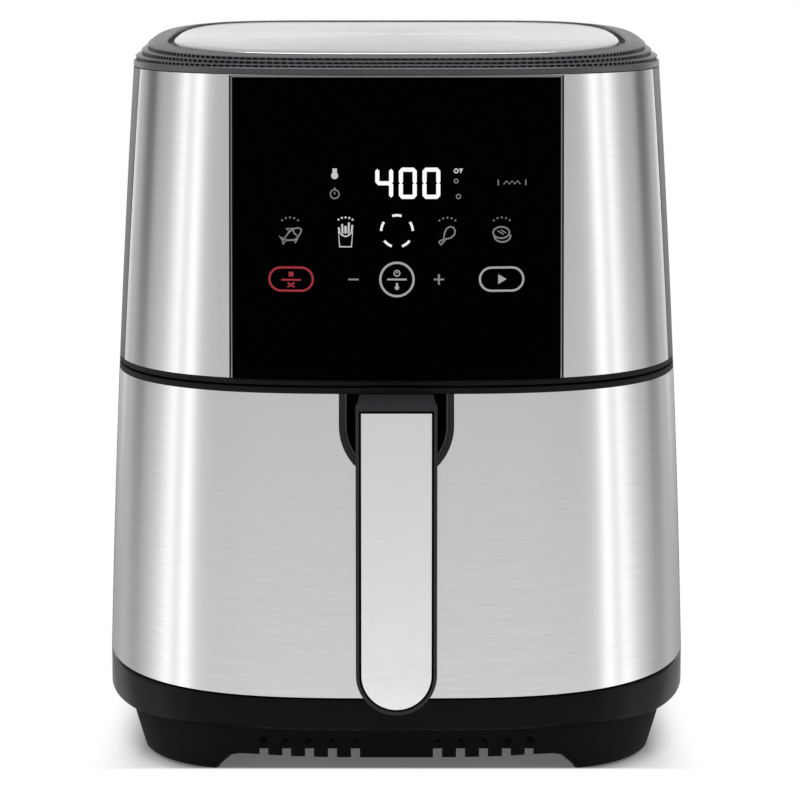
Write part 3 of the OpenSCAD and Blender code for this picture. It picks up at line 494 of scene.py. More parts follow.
# lacquered stack of motor laminations, 0.5 mm sheets seen edge on: fine level stripes
brushedSteel("motorLamination", "#7c7d80", "#55565a", 0.45, (20, 20, 0.5), 0.0, 0.6)
# drawn stainless tube of the sensor: smooth, with thin lines along it
brushedSteel("drawnSensorTube", "#c4c5c8", "#a9aaad", 0.25, (0.8, 0.8, 6), 0.0, 0.1)
# stamped aluminium, dulled by heat: pale, with soft blotches
brushedSteel("stampedAluminium", "#bfc0c2", "#a2a3a5", 0.4, (4, 4, 4), 0.0, 0.2)
# glazed steatite ceramic: cream, with a clear sheen
mouldedPlastic("glazedCeramic", "#d3ccb8", "#e0dac8", 0.25, 0.5, 1.5, 0.05, 1.6)
# moulded acetal: even red, slightly waxy
mouldedPlastic("redAcetal", "#a8261f", "#b8322a", 0.35, 0.5, 0.8, 0.1, 1.48)
# moulded silicone rubber: soft, slightly dusty
mouldedPlastic("redSilicone", "#a0372c", "#b04438", 0.6, 0.4, 0.8, 0.2, 1.43)
# diffusing polycarbonate over the display's lamps: milky white
mouldedPlastic("milkyPolycarbonate", "#dcdcd8", "#e8e8e4", 0.4, 0.5, 1, 0.05, 1.58)
# sprayed PTFE coating: near black, satin, with an orange-peel of about 1 mm
mouldedPlastic("nonStickCoating", "#1c1c1e", "#252528", 0.34, 0.45, 1, 0.2, 1.45)

# Glass-epoxy board: green solder mask with pale copper tracks, drawn 0.6 mm wide so that they show
board = {"mask": "#1c5230", "paler": "#21613a", "copper": "#5f9a62", "track": 0.3 * mm, "pitch": 2.4 * mm,
         "pad": 7 * mm, "gloss": (0.25, 0.4), "relief": 0.3, "copperDepth": 0.05 * mm}
tree = newMaterial("greenBoard")
place = addNode(tree, "ShaderNodeTexCoord")
tracks = addNode(tree, "ShaderNodeTexBrick",
                 {"Color1": toLinear(board["mask"]), "Color2": toLinear(board["paler"]),
                  "Mortar": toLinear(board["copper"]), "Scale": 1.0, "Mortar Size": board["track"],
                  "Brick Width": board["pad"], "Row Height": board["pitch"]},
                 {"Vector": place.outputs["Object"]})
gloss = addNode(tree, "ShaderNodeMapRange",
                {**noiseSpan, "To Min": board["gloss"][0], "To Max": board["gloss"][1]},
                {"Value": grainNoise(tree, (1, 1, 1))})
bump = addNode(tree, "ShaderNodeBump", {"Strength": board["relief"], "Distance": board["copperDepth"]},
               {"Height": tracks.outputs["Fac"]})
shader = addNode(tree, "ShaderNodeBsdfPrincipled",
                 links={"Base Color": tracks.outputs["Color"], "Roughness": gloss.outputs["Result"],
                        "Normal": bump.outputs["Normal"]})
addNode(tree, "ShaderNodeOutputMaterial", {"target": "ALL"}, {"Surface": shader.outputs["BSDF"]})
print("finishes for the shells ready")

# Drawer skin: a stainless wrap with rolled ends and a round-bottomed opening for the handle's recess
bezelLow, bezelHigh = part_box("recess_bezel")
recess = {
    "radius": bezelHigh.x,
    "centre": bezelLow.z + bezelHigh.x,
    "backY": bezelHigh.y,
    "rimFront": -150 * mm,
    "rimBack": -136 * mm,
    "rim": 2.2 * mm,
    "rimEdge": 0.5 * mm,
    "bead": 0.75 * mm,
    "beadEdge": 0.25 * mm,
    "beadBack": -128 * mm,
    "beadDepth": 3 * mm,
    "beadSunk": 0.1 * mm,
    "proud": 0.35 * mm,
    "fit": 0.2 * mm,
    "wellFit": 0.1 * mm,
    "wellBack": 2 * mm,
}
skin = {"levels": 14, "edge": 0.25 * mm}
# where the cutters end: in front of everything, behind the front wall, and above the drawer
farFront = centreY - 200 * mm
behindFront = centreY - 60 * mm
overDrawer = drawerTop + 5 * mm


def skinShell(name, low, high, slope):
    outer = wallLevels(low, high, skin["levels"], 0.0, slope)
    inner = wallLevels(low, high, skin["levels"], skinThickness, slope)
    return sweepRings(name, outer + inner[::-1])


def recessForm(name, radius, frontEnd, backEnd, top):
    # round below, straight-sided above, level on top
    rod = addRod(name, (0, (frontEnd + backEnd) / 2, recess["centre"]), radius, backEnd - frontEnd, 96)
    box = addBox(name + "Top", (-radius, frontEnd, recess["centre"]), (radius, backEnd, top + radius))
    combine(rod, box, "UNION")
    combine(rod, addBox(name + "Above", (-2 * radius, frontEnd - mm, top),
                        (2 * radius, backEnd + mm, top + 2 * radius)))
    return rod


piece = skinShell("drawerSkin", drawerLow, skinTop, 0.0)
cutAt(piece, splitY, True)
combine(piece, recessForm("skinOpening", recess["radius"] + recess["fit"], farFront, centreY, overDrawer))
softenEdges(piece, skin["edge"])
finishPiece(piece, "drawer", "brushedStainless", ["drawer_skin"])
weighNormals(piece)
print("drawer skin done")

# Upper wrap, open in front for the control panel
trim = {"width": 0.6 * mm, "gap": 0.8 * mm, "above": 0.2 * mm, "depth": 1.0 * mm, "clearance": 0.05 * mm,
        "proud": 0.1 * mm, "edge": 0.12 * mm}
windowHalf = panelHigh.x + trim["width"] + trim["gap"]
windowTop = panelHigh.z + trim["width"] + trim["above"]
piece = skinShell("frontWrap", wrapLow, collarHeight, collarSlope)
cutAt(piece, wrapEndY, True)
combine(piece, addBox("windowCutter", (-windowHalf, farFront, wrapLow - 5 * mm),
                      (windowHalf, behindFront, windowTop)))
softenEdges(piece, skin["edge"])
finishPiece(piece, "housing", "brushedStainless", ["front_wrap"])
weighNormals(piece)
print("front wrap done")


def wrapOnWall(piece, inset):
    # bends a piece modelled flat, with y as its depth, on to the front wall
    for vert in piece.data.vertices:
        vert.co.y = float(frontY(vert.co.x, vert.co.z, inset)) + vert.co.y


# Control panel glass, bent to the front wall
glass = {"proud": 0.6 * mm, "thickness": 1.5 * mm, "edge": 0.3 * mm, "columns": 56, "rows": 40}
bpy.ops.object.select_all(action="DESELECT")
bpy.ops.mesh.primitive_grid_add(x_subdivisions=glass["columns"], y_subdivisions=glass["rows"], size=1,
                                location=(0, 0, (wrapLow + panelHigh.z) / 2), rotation=(math.pi / 2, 0, 0))
piece = startPiece("controlPanel")
piece.scale = (2 * panelHigh.x, panelHigh.z - wrapLow, 1)
settle(piece)
wrapOnWall(piece, -glass["proud"])
applyModifier(piece, "SOLIDIFY", thickness=glass["thickness"], offset=-1)
softenEdges(piece, glass["edge"], 3)
finishPiece(piece, "housing", "blackGlass", ["control_panel"])
print("panel done")


def divideAlong(piece, axis, low, high, count):
    # cuts a straight bar into equal parts so that it can bend
    pick(piece)
    bpy.ops.object.mode_set(mode="EDIT")
    for k in range(1, count):
        place = [0, 0, 0]
        place[axis] = low + (high - low) * k / count
        bpy.ops.mesh.select_all(action="SELECT")
        bpy.ops.mesh.bisect(plane_co=place, plane_no=[float(axis == n) for n in range(3)])
    bpy.ops.object.mode_set(mode="OBJECT")


# Trim round three sides of the glass
innerX, innerZ = panelHigh.x + trim["clearance"], panelHigh.z + trim["clearance"]
outerX, outerZ = panelHigh.x + trim["width"], panelHigh.z + trim["width"]
bars = []
for lowX, highX in ((-outerX, -innerX), (innerX, outerX)):
    bars.append(addBox("trimSide", (lowX, -trim["depth"] / 2, wrapLow), (highX, trim["depth"] / 2, outerZ)))
    divideAlong(bars[-1], 2, wrapLow, panelHigh.z, 24)
bars.append(addBox("trimTop", (-innerX, -trim["depth"] / 2, innerZ), (innerX, trim["depth"] / 2, outerZ)))
divideAlong(bars[-1], 0, -panelHigh.x, panelHigh.x, 40)
piece = joinPieces("panelTrim", bars)
wrapOnWall(piece, -trim["proud"])
softenEdges(piece, trim["edge"])
finishPiece(piece, "housing", "trimSteel", ["panel_trim"])
print("trim done")

# Panel marks: plain symbols and the display's digits, as thin plates on the glass. All in millimetres, with
# heights above the panel's lower edge
marks = {
    "thickness": 0.12,
    "forward": 0.4,  # every mark stands this share of the thickness further out
    "digitHeight": 13.2,
    "digitWidth": 7.6,
    "segment": 1.75,
    "overAcross": 0.9,  # a digit's bars are longer by this than the way between its corners
    "overUp": 0.7,
    "line": 0.75,
    "thinLine": 0.5,
    "signLine": 0.85,
    "pill": (9.3, 4.9, 1.05),
    "displayZ": 83.3,
    "iconZ": 61.5,
    "buttonZ": 42.7,
}


def flatPlate(points, at=(0, 0)):
    # closed flat plate in the x-z plane through points measured from a place
    bpy.ops.object.select_all(action="DESELECT")
    bpy.ops.mesh.primitive_circle_add(vertices=len(points), radius=mm, fill_type="NGON")
    plate = startPiece("mark")
    for vert, (x, z) in zip(plate.data.vertices, points):
        vert.co = ((at[0] + x) * mm, 0, (at[1] + z) * mm)
    pick(plate)
    bpy.ops.object.mode_set(mode="EDIT")
    bpy.ops.mesh.select_all(action="SELECT")
    bpy.ops.mesh.extrude_region_move(TRANSFORM_OT_translate={"value": (0, -marks["thickness"] * mm, 0)})
    bpy.ops.mesh.select_all(action="SELECT")
    bpy.ops.mesh.normals_make_consistent(inside=False)
    bpy.ops.object.mode_set(mode="OBJECT")
    return plate


def drawLine(points, width, closed=False, at=(0, 0)):
    # a flat line of even width with round corners, through points measured from a place
    bpy.ops.object.select_all(action="DESELECT")
    curve = bpy.data.curves.new("line", "CURVE")
    curve.dimensions = "3D"
    curve.bevel_depth = width * mm / 2
    curve.bevel_resolution = 1
    curve.use_fill_caps = True
    spline = curve.splines.new("POLY")
    spline.points.add(len(points) - 1)
    for point, (x, z) in zip(spline.points, points):
        point.co = ((at[0] + x) * mm, 0, (at[1] + z) * mm, 1)
    spline.use_cyclic_u = closed
    line = bpy.data.objects.new("line", curve)
    bpy.context.collection.objects.link(line)
    pick(line)
    bpy.ops.object.convert(target="MESH")
    line = bpy.context.object
    for vert in line.data.vertices:
        vert.co.y *= marks["thickness"] / width * 2
    return line


def arcPoints(x, z, radiusX, radiusZ, start, end, count):
    turns = [math.radians(start + (end - start) * k / (count - 1)) for k in range(count)]
    return [(x + radiusX * math.cos(t), z + radiusZ * math.sin(t)) for t in turns]


def ovalLine(x, z, radiusX, radiusZ, width):
    return drawLine(arcPoints(x, z, radiusX, radiusZ, 0, 345, 24), width, closed=True)


def roundPlate(x, z, radius, sides):
    return flatPlate(arcPoints(x, z, radius, radius, 0, 360 - 360 / sides, sides))


def dotsOnArc(x, z, radius, spread, size, count=5):
    # small plain dots where a word would stand
    dots = []
    for k in range(count):
        turn = math.radians(90 + spread * (k / (count - 1) - 0.5))
        dots.append(roundPlate(x + radius * math.cos(turn), z + radius * math.sin(turn), size, 6))
    return dots


def pillLine(x, z, halfWidth, halfHeight, width):
    inner = halfWidth - halfHeight
    right = arcPoints(x + inner, z, halfHeight, halfHeight, -90, 90, 13)
    left = arcPoints(x - inner, z, halfHeight, halfHeight, 90, 270, 13)
    return drawLine(right + left, width, closed=True)


def drawSymbol(at, lines):
    # each line of a symbol is (closed, points)
    return [drawLine(points, marks["line"], closed, at) for closed, points in lines]


def placeMarks(name, parts, finish):
    # brings the marks to the panel and bends them on to the glass
    piece = joinPieces(name, parts)
    for vert in piece.data.vertices:
        vert.co.z += wrapLow
        vert.co.y -= marks["thickness"] * marks["forward"] * mm
    wrapOnWall(piece, -glass["proud"])
    finishPiece(piece, "housing", finish)


def segmentPlate(x, z, length, upright):
    # one bar of a digit, pointed at both ends
    half, side = length / 2, marks["segment"] / 2
    outline = [(-half, 0), (-half + side, side), (half - side, side), (half, 0), (half - side, -side),
               (-half + side, -side)]
    return flatPlate([(v, u) if upright else (u, v) for u, v in outline], (x, z))


def digitPlates(x, z, lit):
    reachX = (marks["digitWidth"] - marks["segment"]) / 2
    reachZ = (marks["digitHeight"] - marks["segment"]) / 4
    across, up = 2 * reachX + marks["overAcross"], 2 * reachZ + marks["overUp"]
    places = {"top": (0, 2 * reachZ, across, False), "middle": (0, 0, across, False),
              "bottom": (0, -2 * reachZ, across, False), "upperLeft": (-reachX, reachZ, up, True),
              "upperRight": (reachX, reachZ, up, True), "lowerLeft": (-reachX, -reachZ, up, True),
              "lowerRight": (reachX, -reachZ, up, True)}
    bars = [places[part] for part in lit]
    return [segmentPlate(x + barX, z + barZ, length, upright) for barX, barZ, length, upright in bars]


four = ["upperLeft", "upperRight", "middle", "lowerRight"]
nought = ["top", "bottom", "upperLeft", "upperRight", "lowerLeft", "lowerRight"]
displayZ, iconZ, buttonZ = marks["displayZ"], marks["iconZ"], marks["buttonZ"]
line, thinLine, signLine = marks["line"], marks["thinLine"], marks["signLine"]
digits = []
for centre, lit in ((-5.2, four), (4.8, nought), (14.8, nought)):
    digits += digitPlates(centre, displayZ, lit)
placeMarks("displayDigits", digits, "litWhite")
progress = {"x": 0.2, "above": 1.6, "radius": 6.7, "half": 17, "line": 1.2}
ringArcs = []
for middle in (90, 162, 234, 306, 378):
    arc = arcPoints(progress["x"], iconZ + progress["above"], progress["radius"], progress["radius"],
                    middle - progress["half"], middle + progress["half"], 9)
    ringArcs.append(drawLine(arc, progress["line"]))
placeMarks("progressRing", ringArcs, "litBright")

# Bright marks: thermometer, degree ring with a tick, chips in a tub
bright = [flatPlate(arcPoints(-26.2, displayZ + 3.2, 1.5, 1.5, 0, 345, 16)),
          drawLine([(-26.2, displayZ + 3.6), (-26.2, displayZ + 6.2)], 1.9),
          ovalLine(25.3, displayZ + 5.2, 0.8, 0.8, 0.6),
          flatPlate([(0, 2.2), (1.6, 2.2), (0.6, 0)], (26.6, displayZ + 4.0))]
chipsX = -21.6
for k, height in enumerate((3.2, 4.6, 3.8, 5.3, 4.2)):
    bright.append(drawLine([(1.25 * k - 2.5, 0.6), (1.45 * k - 2.9, height)], 0.95, at=(chipsX, iconZ)))
tub = [(-3, 1.2), (-2.5, -5), (2.5, -5), (3, 1.2), (1.6, 0), (0, -0.7), (-1.6, 0)]
bright += drawSymbol((chipsX, iconZ), [(True, tub)]) + dotsOnArc(chipsX, iconZ + 2.2, 5.2, 70, 0.5)
placeMarks("brightSymbols", bright, "litPale")

# Button outlines: start pill with a play mark, and a ring with a clock and a thermometer about its divider
placeMarks("startButton", [pillLine(44.7, buttonZ, *marks["pill"]),
                           flatPlate([(-1.5, 2.1), (2.1, 0), (-1.5, -2.1)], (44.7, buttonZ))], "litMid")
placeMarks("modeButton", [ovalLine(0.2, buttonZ, 7.1, 7.1, 1.1),
                          drawLine([(-3.9, buttonZ), (4.3, buttonZ)], signLine),
                          ovalLine(0.2, buttonZ + 2.6, 1.2, 1.2, 0.6),
                          drawLine([(0.2, buttonZ + 3.2), (0.2, buttonZ + 2.5)], thinLine),
                          roundPlate(0.2, buttonZ - 3.5, 0.95, 12),
                          drawLine([(0.2, buttonZ - 3.3), (0.2, buttonZ - 1.5)], 1.0)], "litMid")

# Dim marks: clock, fish, leg, round slice, minus, plus, a zigzag in brackets, two small rings
fishX, legX, sliceX, zigzagX = -45.2, 21.6, 44.7, 49.1
dim = [ovalLine(-26.2, displayZ - 4.6, 1.85, 1.85, 0.6),
       drawLine([(-26.2, displayZ - 3.7), (-26.2, displayZ - 4.7)], thinLine),
       drawLine([(-26.2, displayZ - 2.4), (-26.2, displayZ - 1.9)], 0.7)]
dim += drawSymbol((fishX, iconZ), [
    (True, ((-2.6, -1.8), (-0.4, 1.1), (1.4, 2.5), (3.4, 2.9), (4.9, 2.3), (4.5, 0.8), (3.2, -1.2), (2.0, -2.2),
            (-1.4, -2.4))),
    (False, ((-2.4, -2.0), (-4.6, -0.7), (-3.2, -2.4), (-3.0, -4.2), (-2.0, -2.6))),
    (False, ((-0.2, 1.3), (-1.7, 2.6), (1.2, 2.5))),
    (False, ((1.3, 2.1), (1.7, 0.7), (3.0, -0.4))),
    (False, ((1.9, -2.3), (2.3, -3.5), (3.1, -1.7)))])
dim += drawSymbol((legX, iconZ), [
    (True, ((-1.6, -1.6), (-1.2, 0.8), (-0.4, 2.6), (1.0, 3.5), (2.6, 3.1), (3.3, 1.6), (2.9, 0.0), (1.5, -1.2),
            (-0.3, -1.7))),
    (False, ((-1.5, -1.9), (-2.6, -2.3), (-3.6, -2.9), (-3.1, -3.7), (-2.6, -4.2), (-1.9, -3.2),
             (-0.9, -2.1)))])
dim += [ovalLine(sliceX - 0.2, iconZ + 0.9, 3.5, 2.4, line),
        drawLine(arcPoints(sliceX + 0.3, iconZ - 0.5, 3.5, 2.6, 170, 370, 18), line),
        drawLine([(-1.9, 1.7), (0.9, 0.1)], thinLine, at=(sliceX, iconZ)),
        drawLine([(-0.4, 2.0), (1.9, 0.7)], thinLine, at=(sliceX, iconZ))]
for x in (fishX, legX, sliceX):
    dim += dotsOnArc(x, iconZ + 1.9, 5.4, 78, 0.42)
dim += [drawLine([(-20.4, buttonZ), (-16.0, buttonZ)], signLine),
        drawLine([(15.8, buttonZ), (20.2, buttonZ)], signLine),
        drawLine([(18.0, buttonZ - 2.2), (18.0, buttonZ + 2.2)], signLine)]
for side in (-5.9, 5.9):
    dim.append(drawLine([(side, 1.4), (side, -1.0)], thinLine, at=(zigzagX, displayZ)))
zigzag = [(1.2 * k - 3.6, 0.9 if k % 2 else -0.5) for k in range(7)]
dim += [drawLine(zigzag, thinLine, at=(zigzagX, displayZ)),
        ovalLine(25.3, displayZ + 0.9, 0.8, 0.8, thinLine),
        ovalLine(26.3, displayZ - 5.6, 0.9, 0.9, thinLine)]
placeMarks("dimSymbols", dim, "litGrey")

# Red stop pill with a square above its divider and a cross below
stop = (-44.8, buttonZ)
red = [pillLine(*stop, *marks["pill"]),
       drawLine([(-4.2, -0.3), (4.2, -0.3)], signLine, at=stop),
       flatPlate([(-1, 3.1), (1, 3.1), (1, 1.1), (-1, 1.1)], stop),
       drawLine([(-1.5, -1.4), (1.5, -3.4)], line, at=stop),
       drawLine([(1.5, -1.4), (-1.5, -3.4)], line, at=stop)]
placeMarks("stopButton", red, "litRed")
print("panel marks done")

# Base band: gloss black, upright down to its lower edge, which dips towards the corners
band = {
    "low": 24.2 * mm,
    "dip": 3.2 * mm,
    "dipFrom": 75 * mm,
    "dipTo": 120 * mm,
    # share (0 at the lower edge, 1 at the top), offset in height and inset, both in millimetres
    "profile": [(1, -3.0, 9.8), (0, 0.4, 9.8), (0, 0, 1.1), (0, 0.12, 0.55), (0, 0.45, 0.15), (0, 1.0, 0),
                (0.5, 0, 0), (1, -1.1, 0), (1, -0.6, 0.1), (1, -0.2, 0.3), (1, 0.05, 0.7), (1, 0.15, 1.5),
                (1, 0.15, 2.4)],
}
edgeX = np.abs(bodyRing(baseTop)[:, 0])
bandLow = band["low"] - band["dip"] * smoothStep(edgeX, band["dipFrom"], band["dipTo"])
bandRings = []
for share, offset, inset in band["profile"]:
    bandRings.append(bodyRing(baseTop, inset * mm))
    bandRings[-1][:, 2] = bandLow + (baseTop - bandLow) * share + offset * mm
piece = sweepRings("baseBand", bandRings, closed=False)
finishPiece(piece, "housing", "glossBlackAbs", ["base_tub"])

# Skirt and legs: one matt moulding whose lower edge drops to the floor at the corners
skirt = {
    "low": 9.2 * mm,
    "underBand": 0.6 * mm,
    "legLow": 1.0 * mm,
    "insetTop": 9.0 * mm,
    "insetLow": 12.8 * mm,
    "legX": 73.6 * mm,
    "legY": 64 * mm,
    "reachInset": (9 * mm, 12 * mm),  # the legs' sides are measured on this inner outline
    "legInsetX": 16 * mm,
    "legInsetY": 20 * mm,
    "legInsetTop": 8 * mm,
    "legSquarer": 1.2,
    "fillet": 17 * mm,
    "slant": 5.4 * mm,
    "rootFrom": 8.9 * mm,
    "rootTo": 3.9 * mm,
    "rootShare": 0.16,
    "legTop": 22.5 * mm,
    "drops": (0, 0.12, 0.25, 0.4, 0.55, 0.7, 0.82),
    "edge": [(1.4, 0), (0.9, 0.02), (0.4, 0.2), (0.1, 0.55), (0, 1.0)],  # lift and depth in millimetres
    "innerDrops": (0.8, 0.5, 0.2, 0),
    "coreX": 80 * mm,
    "beyond": 200 * mm,
    "coreDepth": 1.6 * mm,
    "coreHeights": (1.1 * mm, 6 * mm, 12 * mm, 20 * mm),
}
# more points where a leg begins
dense = {"x": 76 * mm, "y": 64 * mm, "within": 9 * mm, "beyond": 90 * mm}
fineAngles = spacedAngles(2400)
fineX, fineY = (np.abs(line) for line in outlineXY(fineAngles))
nearX = (np.abs(fineX - dense["x"]) < dense["within"]) & (fineY > dense["beyond"])
nearY = (np.abs(fineY - dense["y"]) < dense["within"]) & (fineX > dense["beyond"])
legAngles = np.unique(np.round(np.concatenate([spacedAngles(400), fineAngles[nearX | nearY]]), 6))


def legReach(at):
    # how far inside the leg a point of the outline is, measured from the leg's inner sides
    side, ends = skirt["reachInset"]
    x, y = outlineXY(at, side, ends, ends)
    return np.minimum(np.abs(x) - skirt["legX"], np.abs(y) - skirt["legY"])


def legOutline(at, share, depth):
    # the legs' own squarer outline, from the floor (share 0) to their top (share 1)
    insetX = skirt["legInsetX"] + share * (skirt["legInsetTop"] - skirt["legInsetX"]) + depth
    insetY = skirt["legInsetY"] + share * (skirt["legInsetTop"] - skirt["legInsetY"]) + depth
    squarer = skirt["legSquarer"] * (1 - share / 2)
    return outlineXY(at, insetX, insetY, insetY, [power + squarer for power in bodyPowers])


def skirtRing(drop, lift, depth):
    # drop 0 under the band and 1 at the lower edge, raised by lift there; depth sets the wall in
    reach = legReach(legAngles)
    bulge = smoothStep(reach, -skirt["fillet"], 0)
    slope = np.clip((reach + skirt["slant"]) / skirt["slant"], 0, 1)
    root = smoothStep(reach, -skirt["rootFrom"], -skirt["rootTo"])
    fall = np.clip(skirt["rootShare"] * root + (1 - skirt["rootShare"]) * slope, 0, 1)
    low = skirt["low"] - (skirt["low"] - skirt["legLow"]) * fall
    top = band["low"] + skirt["underBand"]
    z = top + (low + lift - top) * drop
    lean = (skirt["insetLow"] - skirt["insetTop"]) * (top - z) / (top - skirt["low"])
    plain = skirt["insetTop"] + lean + depth
    x1, y1 = outlineXY(legAngles, plain, plain, plain)
    share = np.clip((z - skirt["legLow"]) / (skirt["legTop"] - skirt["legLow"]), 0, 1)
    x2, y2 = legOutline(legAngles, share, depth)
    return placeRing(x1 + (x2 - x1) * bulge, y1 + (y2 - y1) * bulge, z)


outer = [skirtRing(drop, 0, 0) for drop in skirt["drops"]]
outer += [skirtRing(1, lift * mm, depth * mm) for lift, depth in skirt["edge"]]
inner = [skirtRing(drop, 0, wallThickness) for drop in (1, *skirt["innerDrops"])]
piece = sweepRings("baseSkirt", outer + inner)

# The legs are solid inside: the same outline, cut back to the corners
coreRings = []
for z in skirt["coreHeights"]:
    share = (z - skirt["legLow"]) / (skirt["legTop"] - skirt["legLow"])
    coreRings.append(placeRing(*legOutline(angles, share, skirt["coreDepth"]), z))
cores = sweepRings("legCores", coreRings, closed=False)
corners = []
for sideX in (-1, 1):
    for sideY in (-1, 1):
        lowX, highX = sorted((sideX * skirt["coreX"], sideX * skirt["beyond"]))
        lowY, highY = sorted((sideY * skirt["legY"], sideY * skirt["beyond"]))
        corners.append(addBox("corner", (lowX, centreY + lowY, 0), (highX, centreY + highY, 50 * mm)))
combine(cores, joinPieces("corners", corners), "INTERSECT")
combine(piece, cores, "UNION")

# Air notches in the front of the skirt, round above and open below
notch = {"count": 5, "start": 17.8 * mm, "pitch": 10 * mm, "width": 3.9 * mm, "low": 2 * mm, "top": 17.9 * mm,
         "from": -160 * mm, "to": -80 * mm}
cutters = []
for side in (-1, 1):
    for k in range(notch["count"]):
        x = side * (notch["start"] + k * notch["pitch"])
        radius = notch["width"] / 2
        roundZ = notch["top"] - radius
        rod = addRod("notchTop", (x, centreY + (notch["from"] + notch["to"]) / 2, roundZ), radius,
                     notch["to"] - notch["from"], 20)
        combine(rod, addBox("notchSlot", (x - radius, centreY + notch["from"], notch["low"]),
                            (x + radius, centreY + notch["to"], roundZ)), "UNION")
        cutters.append(rod)
combine(piece, joinPieces("notches", cutters))
# the skirt's colour is painted darker than the housing: painted shade under the body
finishPiece(piece, "housing", "skirtShadedAbs", ["base_tub"], smooth=30)

# A wall behind the notches keeps fingers out
guard = {"half": 64 * mm, "front": -112 * mm, "thickness": 1.6 * mm, "low": 8.2 * mm, "high": 30 * mm,
         "edge": 0.4 * mm}
piece = addBox("notchGuard", (-guard["half"], centreY + guard["front"], guard["low"]),
               (guard["half"], centreY + guard["front"] + guard["thickness"], guard["high"]))
softenEdges(piece, guard["edge"])
finishPiece(piece, "housing", "mattBlackAbs", ["base_tub"])
print("base done")


def wallShell(name, low, high, levels, outside, inside):
    # a shell between two insets whose top slopes as the collar does
    return sweepRings(name, wallLevels(low, high, levels, outside, collarSlope)
                      + wallLevels(low, high, levels, inside, collarSlope)[::-1])


# Rear housing, with openings for the vent and the gland
ventLow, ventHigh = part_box("exhaust_duct")
glandLow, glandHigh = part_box("cord_gland")
rear = {"levels": 16, "ventFit": 0.1 * mm, "ventFrom": 80 * mm, "ventTo": 200 * mm, "glandBore": 5.7 * mm,
        "glandY": 145 * mm, "glandDepth": 60 * mm, "edge": 0.3 * mm}
piece = wallShell("rearHousing", baseTop, collarHeight, rear["levels"], 0.0, wallThickness)
cutAt(piece, rearStartY, False)
combine(piece, addBox("ventOpening",
                      (ventLow.x - rear["ventFit"], centreY + rear["ventFrom"], ventLow.z - rear["ventFit"]),
                      (ventHigh.x + rear["ventFit"], centreY + rear["ventTo"], ventHigh.z + rear["ventFit"])))
glandPlace = ((glandLow.x + glandHigh.x) / 2, centreY + rear["glandY"], (glandLow.z + glandHigh.z) / 2)
combine(piece, addRod("glandOpening", glandPlace, rear["glandBore"], rear["glandDepth"], 48))
softenEdges(piece, rear["edge"])
finishPiece(piece, "housing", "houseBlackAbs", ["rear_housing"])

# A tongue inside its front edge closes the view through the side seam
tongue = {"depth": 1.2 * mm, "overlap": 4 * mm, "gap": 0.2 * mm, "bite": 0.05 * mm}
piece = wallShell("housingTongue", baseTop, collarHeight, rear["levels"], wallThickness - tongue["bite"],
                  wallThickness + tongue["depth"])
cutAt(piece, splitY + tongue["gap"], False)
cutAt(piece, rearStartY + tongue["overlap"], True)
finishPiece(piece, "housing", "mattBlackAbs", ["rear_housing"])
print("rear housing done")

# Front frame: the dark lip under the wrap, its shelf, the wall behind the wrap and a flush strip at each side
linerLow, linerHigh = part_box("chamber_liner")
shelf = {"half": linerHigh.x - 3 * mm, "front": linerLow.y - centreY + 3 * mm, "corner": 51 * mm}
window = {"side": 12 * mm, "low": 16 * mm, "top": 14 * mm}  # the opening behind the glass, inside its edges
strip = {"depth": 0.4 * mm, "gap": 0.2 * mm, "edge": 0.2 * mm}
opening = [roundBoxRing(shelf["half"], shelf["front"], form["rearDepth"], shelf["corner"], z)
           for z in (lipLow, wrapLow)]
lipRings = [bodyRing(z, inset) for z, inset in
            ((lipLow, 0.3 * mm), (lipLow + 0.3 * mm, 0.0), (wrapLow - 0.4 * mm, 0.0),
             (wrapLow - 0.1 * mm, 0.25 * mm), (wrapLow - 0.1 * mm, shellInset))]
lipRings += wallLevels(wrapLow, collarHeight, 8, shellInset, collarSlope)
lipRings += wallLevels(wrapLow, collarHeight, 8, shellInset + wallThickness, collarSlope)[::-1]
piece = sweepRings("frontFrame", lipRings + opening[::-1])
cutAt(piece, splitY, True)
combine(piece, addBox("frameWindow", (panelLow.x + window["side"], farFront, wrapLow + window["low"]),
                      (panelHigh.x - window["side"], behindFront, panelHigh.z - window["top"])))
finishPiece(piece, "housing", "mattBlackAbs", ["front_frame"])
piece = wallShell("frameStrips", wrapLow, collarHeight, 14, 0.0, shellInset + strip["depth"])
cutAt(piece, splitY, True)
cutAt(piece, wrapEndY + strip["gap"], False)
softenEdges(piece, strip["edge"])
finishPiece(piece, "housing", "houseBlackAbs", ["front_frame"])
print("front frame done")

# Drawer shell: an open bowl behind the skin with the dark trim on top
basketLow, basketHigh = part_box("basket")
well = {"half": basketHigh.x + 0.3 * mm, "front": basketLow.y - centreY - 0.3 * mm, "corner": 48 * mm,
        "wall": 2.4 * mm, "innerTop": 2.2 * mm, "levels": 8}
shares = [k / well["levels"] for k in range(well["levels"] + 1)]
shellRings = [bodyRing(drawerLow + (skinTop - drawerLow) * share, shellInset) for share in shares]
shellRings += [bodyRing(z, inset) for z, inset in
               ((skinTop + 0.2 * mm, 0.0), (drawerTop - 0.4 * mm, 0.0), (drawerTop, 0.5 * mm))]
shellRings += [roundBoxRing(well["half"], well["front"], form["rearDepth"], well["corner"], z)
               for z in (drawerTop - 0.2 * mm, skinTop - 2.0 * mm)]
innerHeight = skinTop - drawerLow - well["wall"] - well["innerTop"]
shellRings += [bodyRing(drawerLow + well["wall"] + innerHeight * (1 - share), shellInset + well["wall"])
               for share in shares]
piece = sweepRings("drawerShell", shellRings, closed=False)
cutAt(piece, splitY, True)
combine(piece, recessForm("shellOpening", recess["radius"] + recess["fit"], farFront,
                          recess["backY"] + recess["fit"], skinTop + 0.1 * mm))
finishPiece(piece, "drawer", "mattBlackAbs", ["drawer_shell"])
print("drawer shell done")

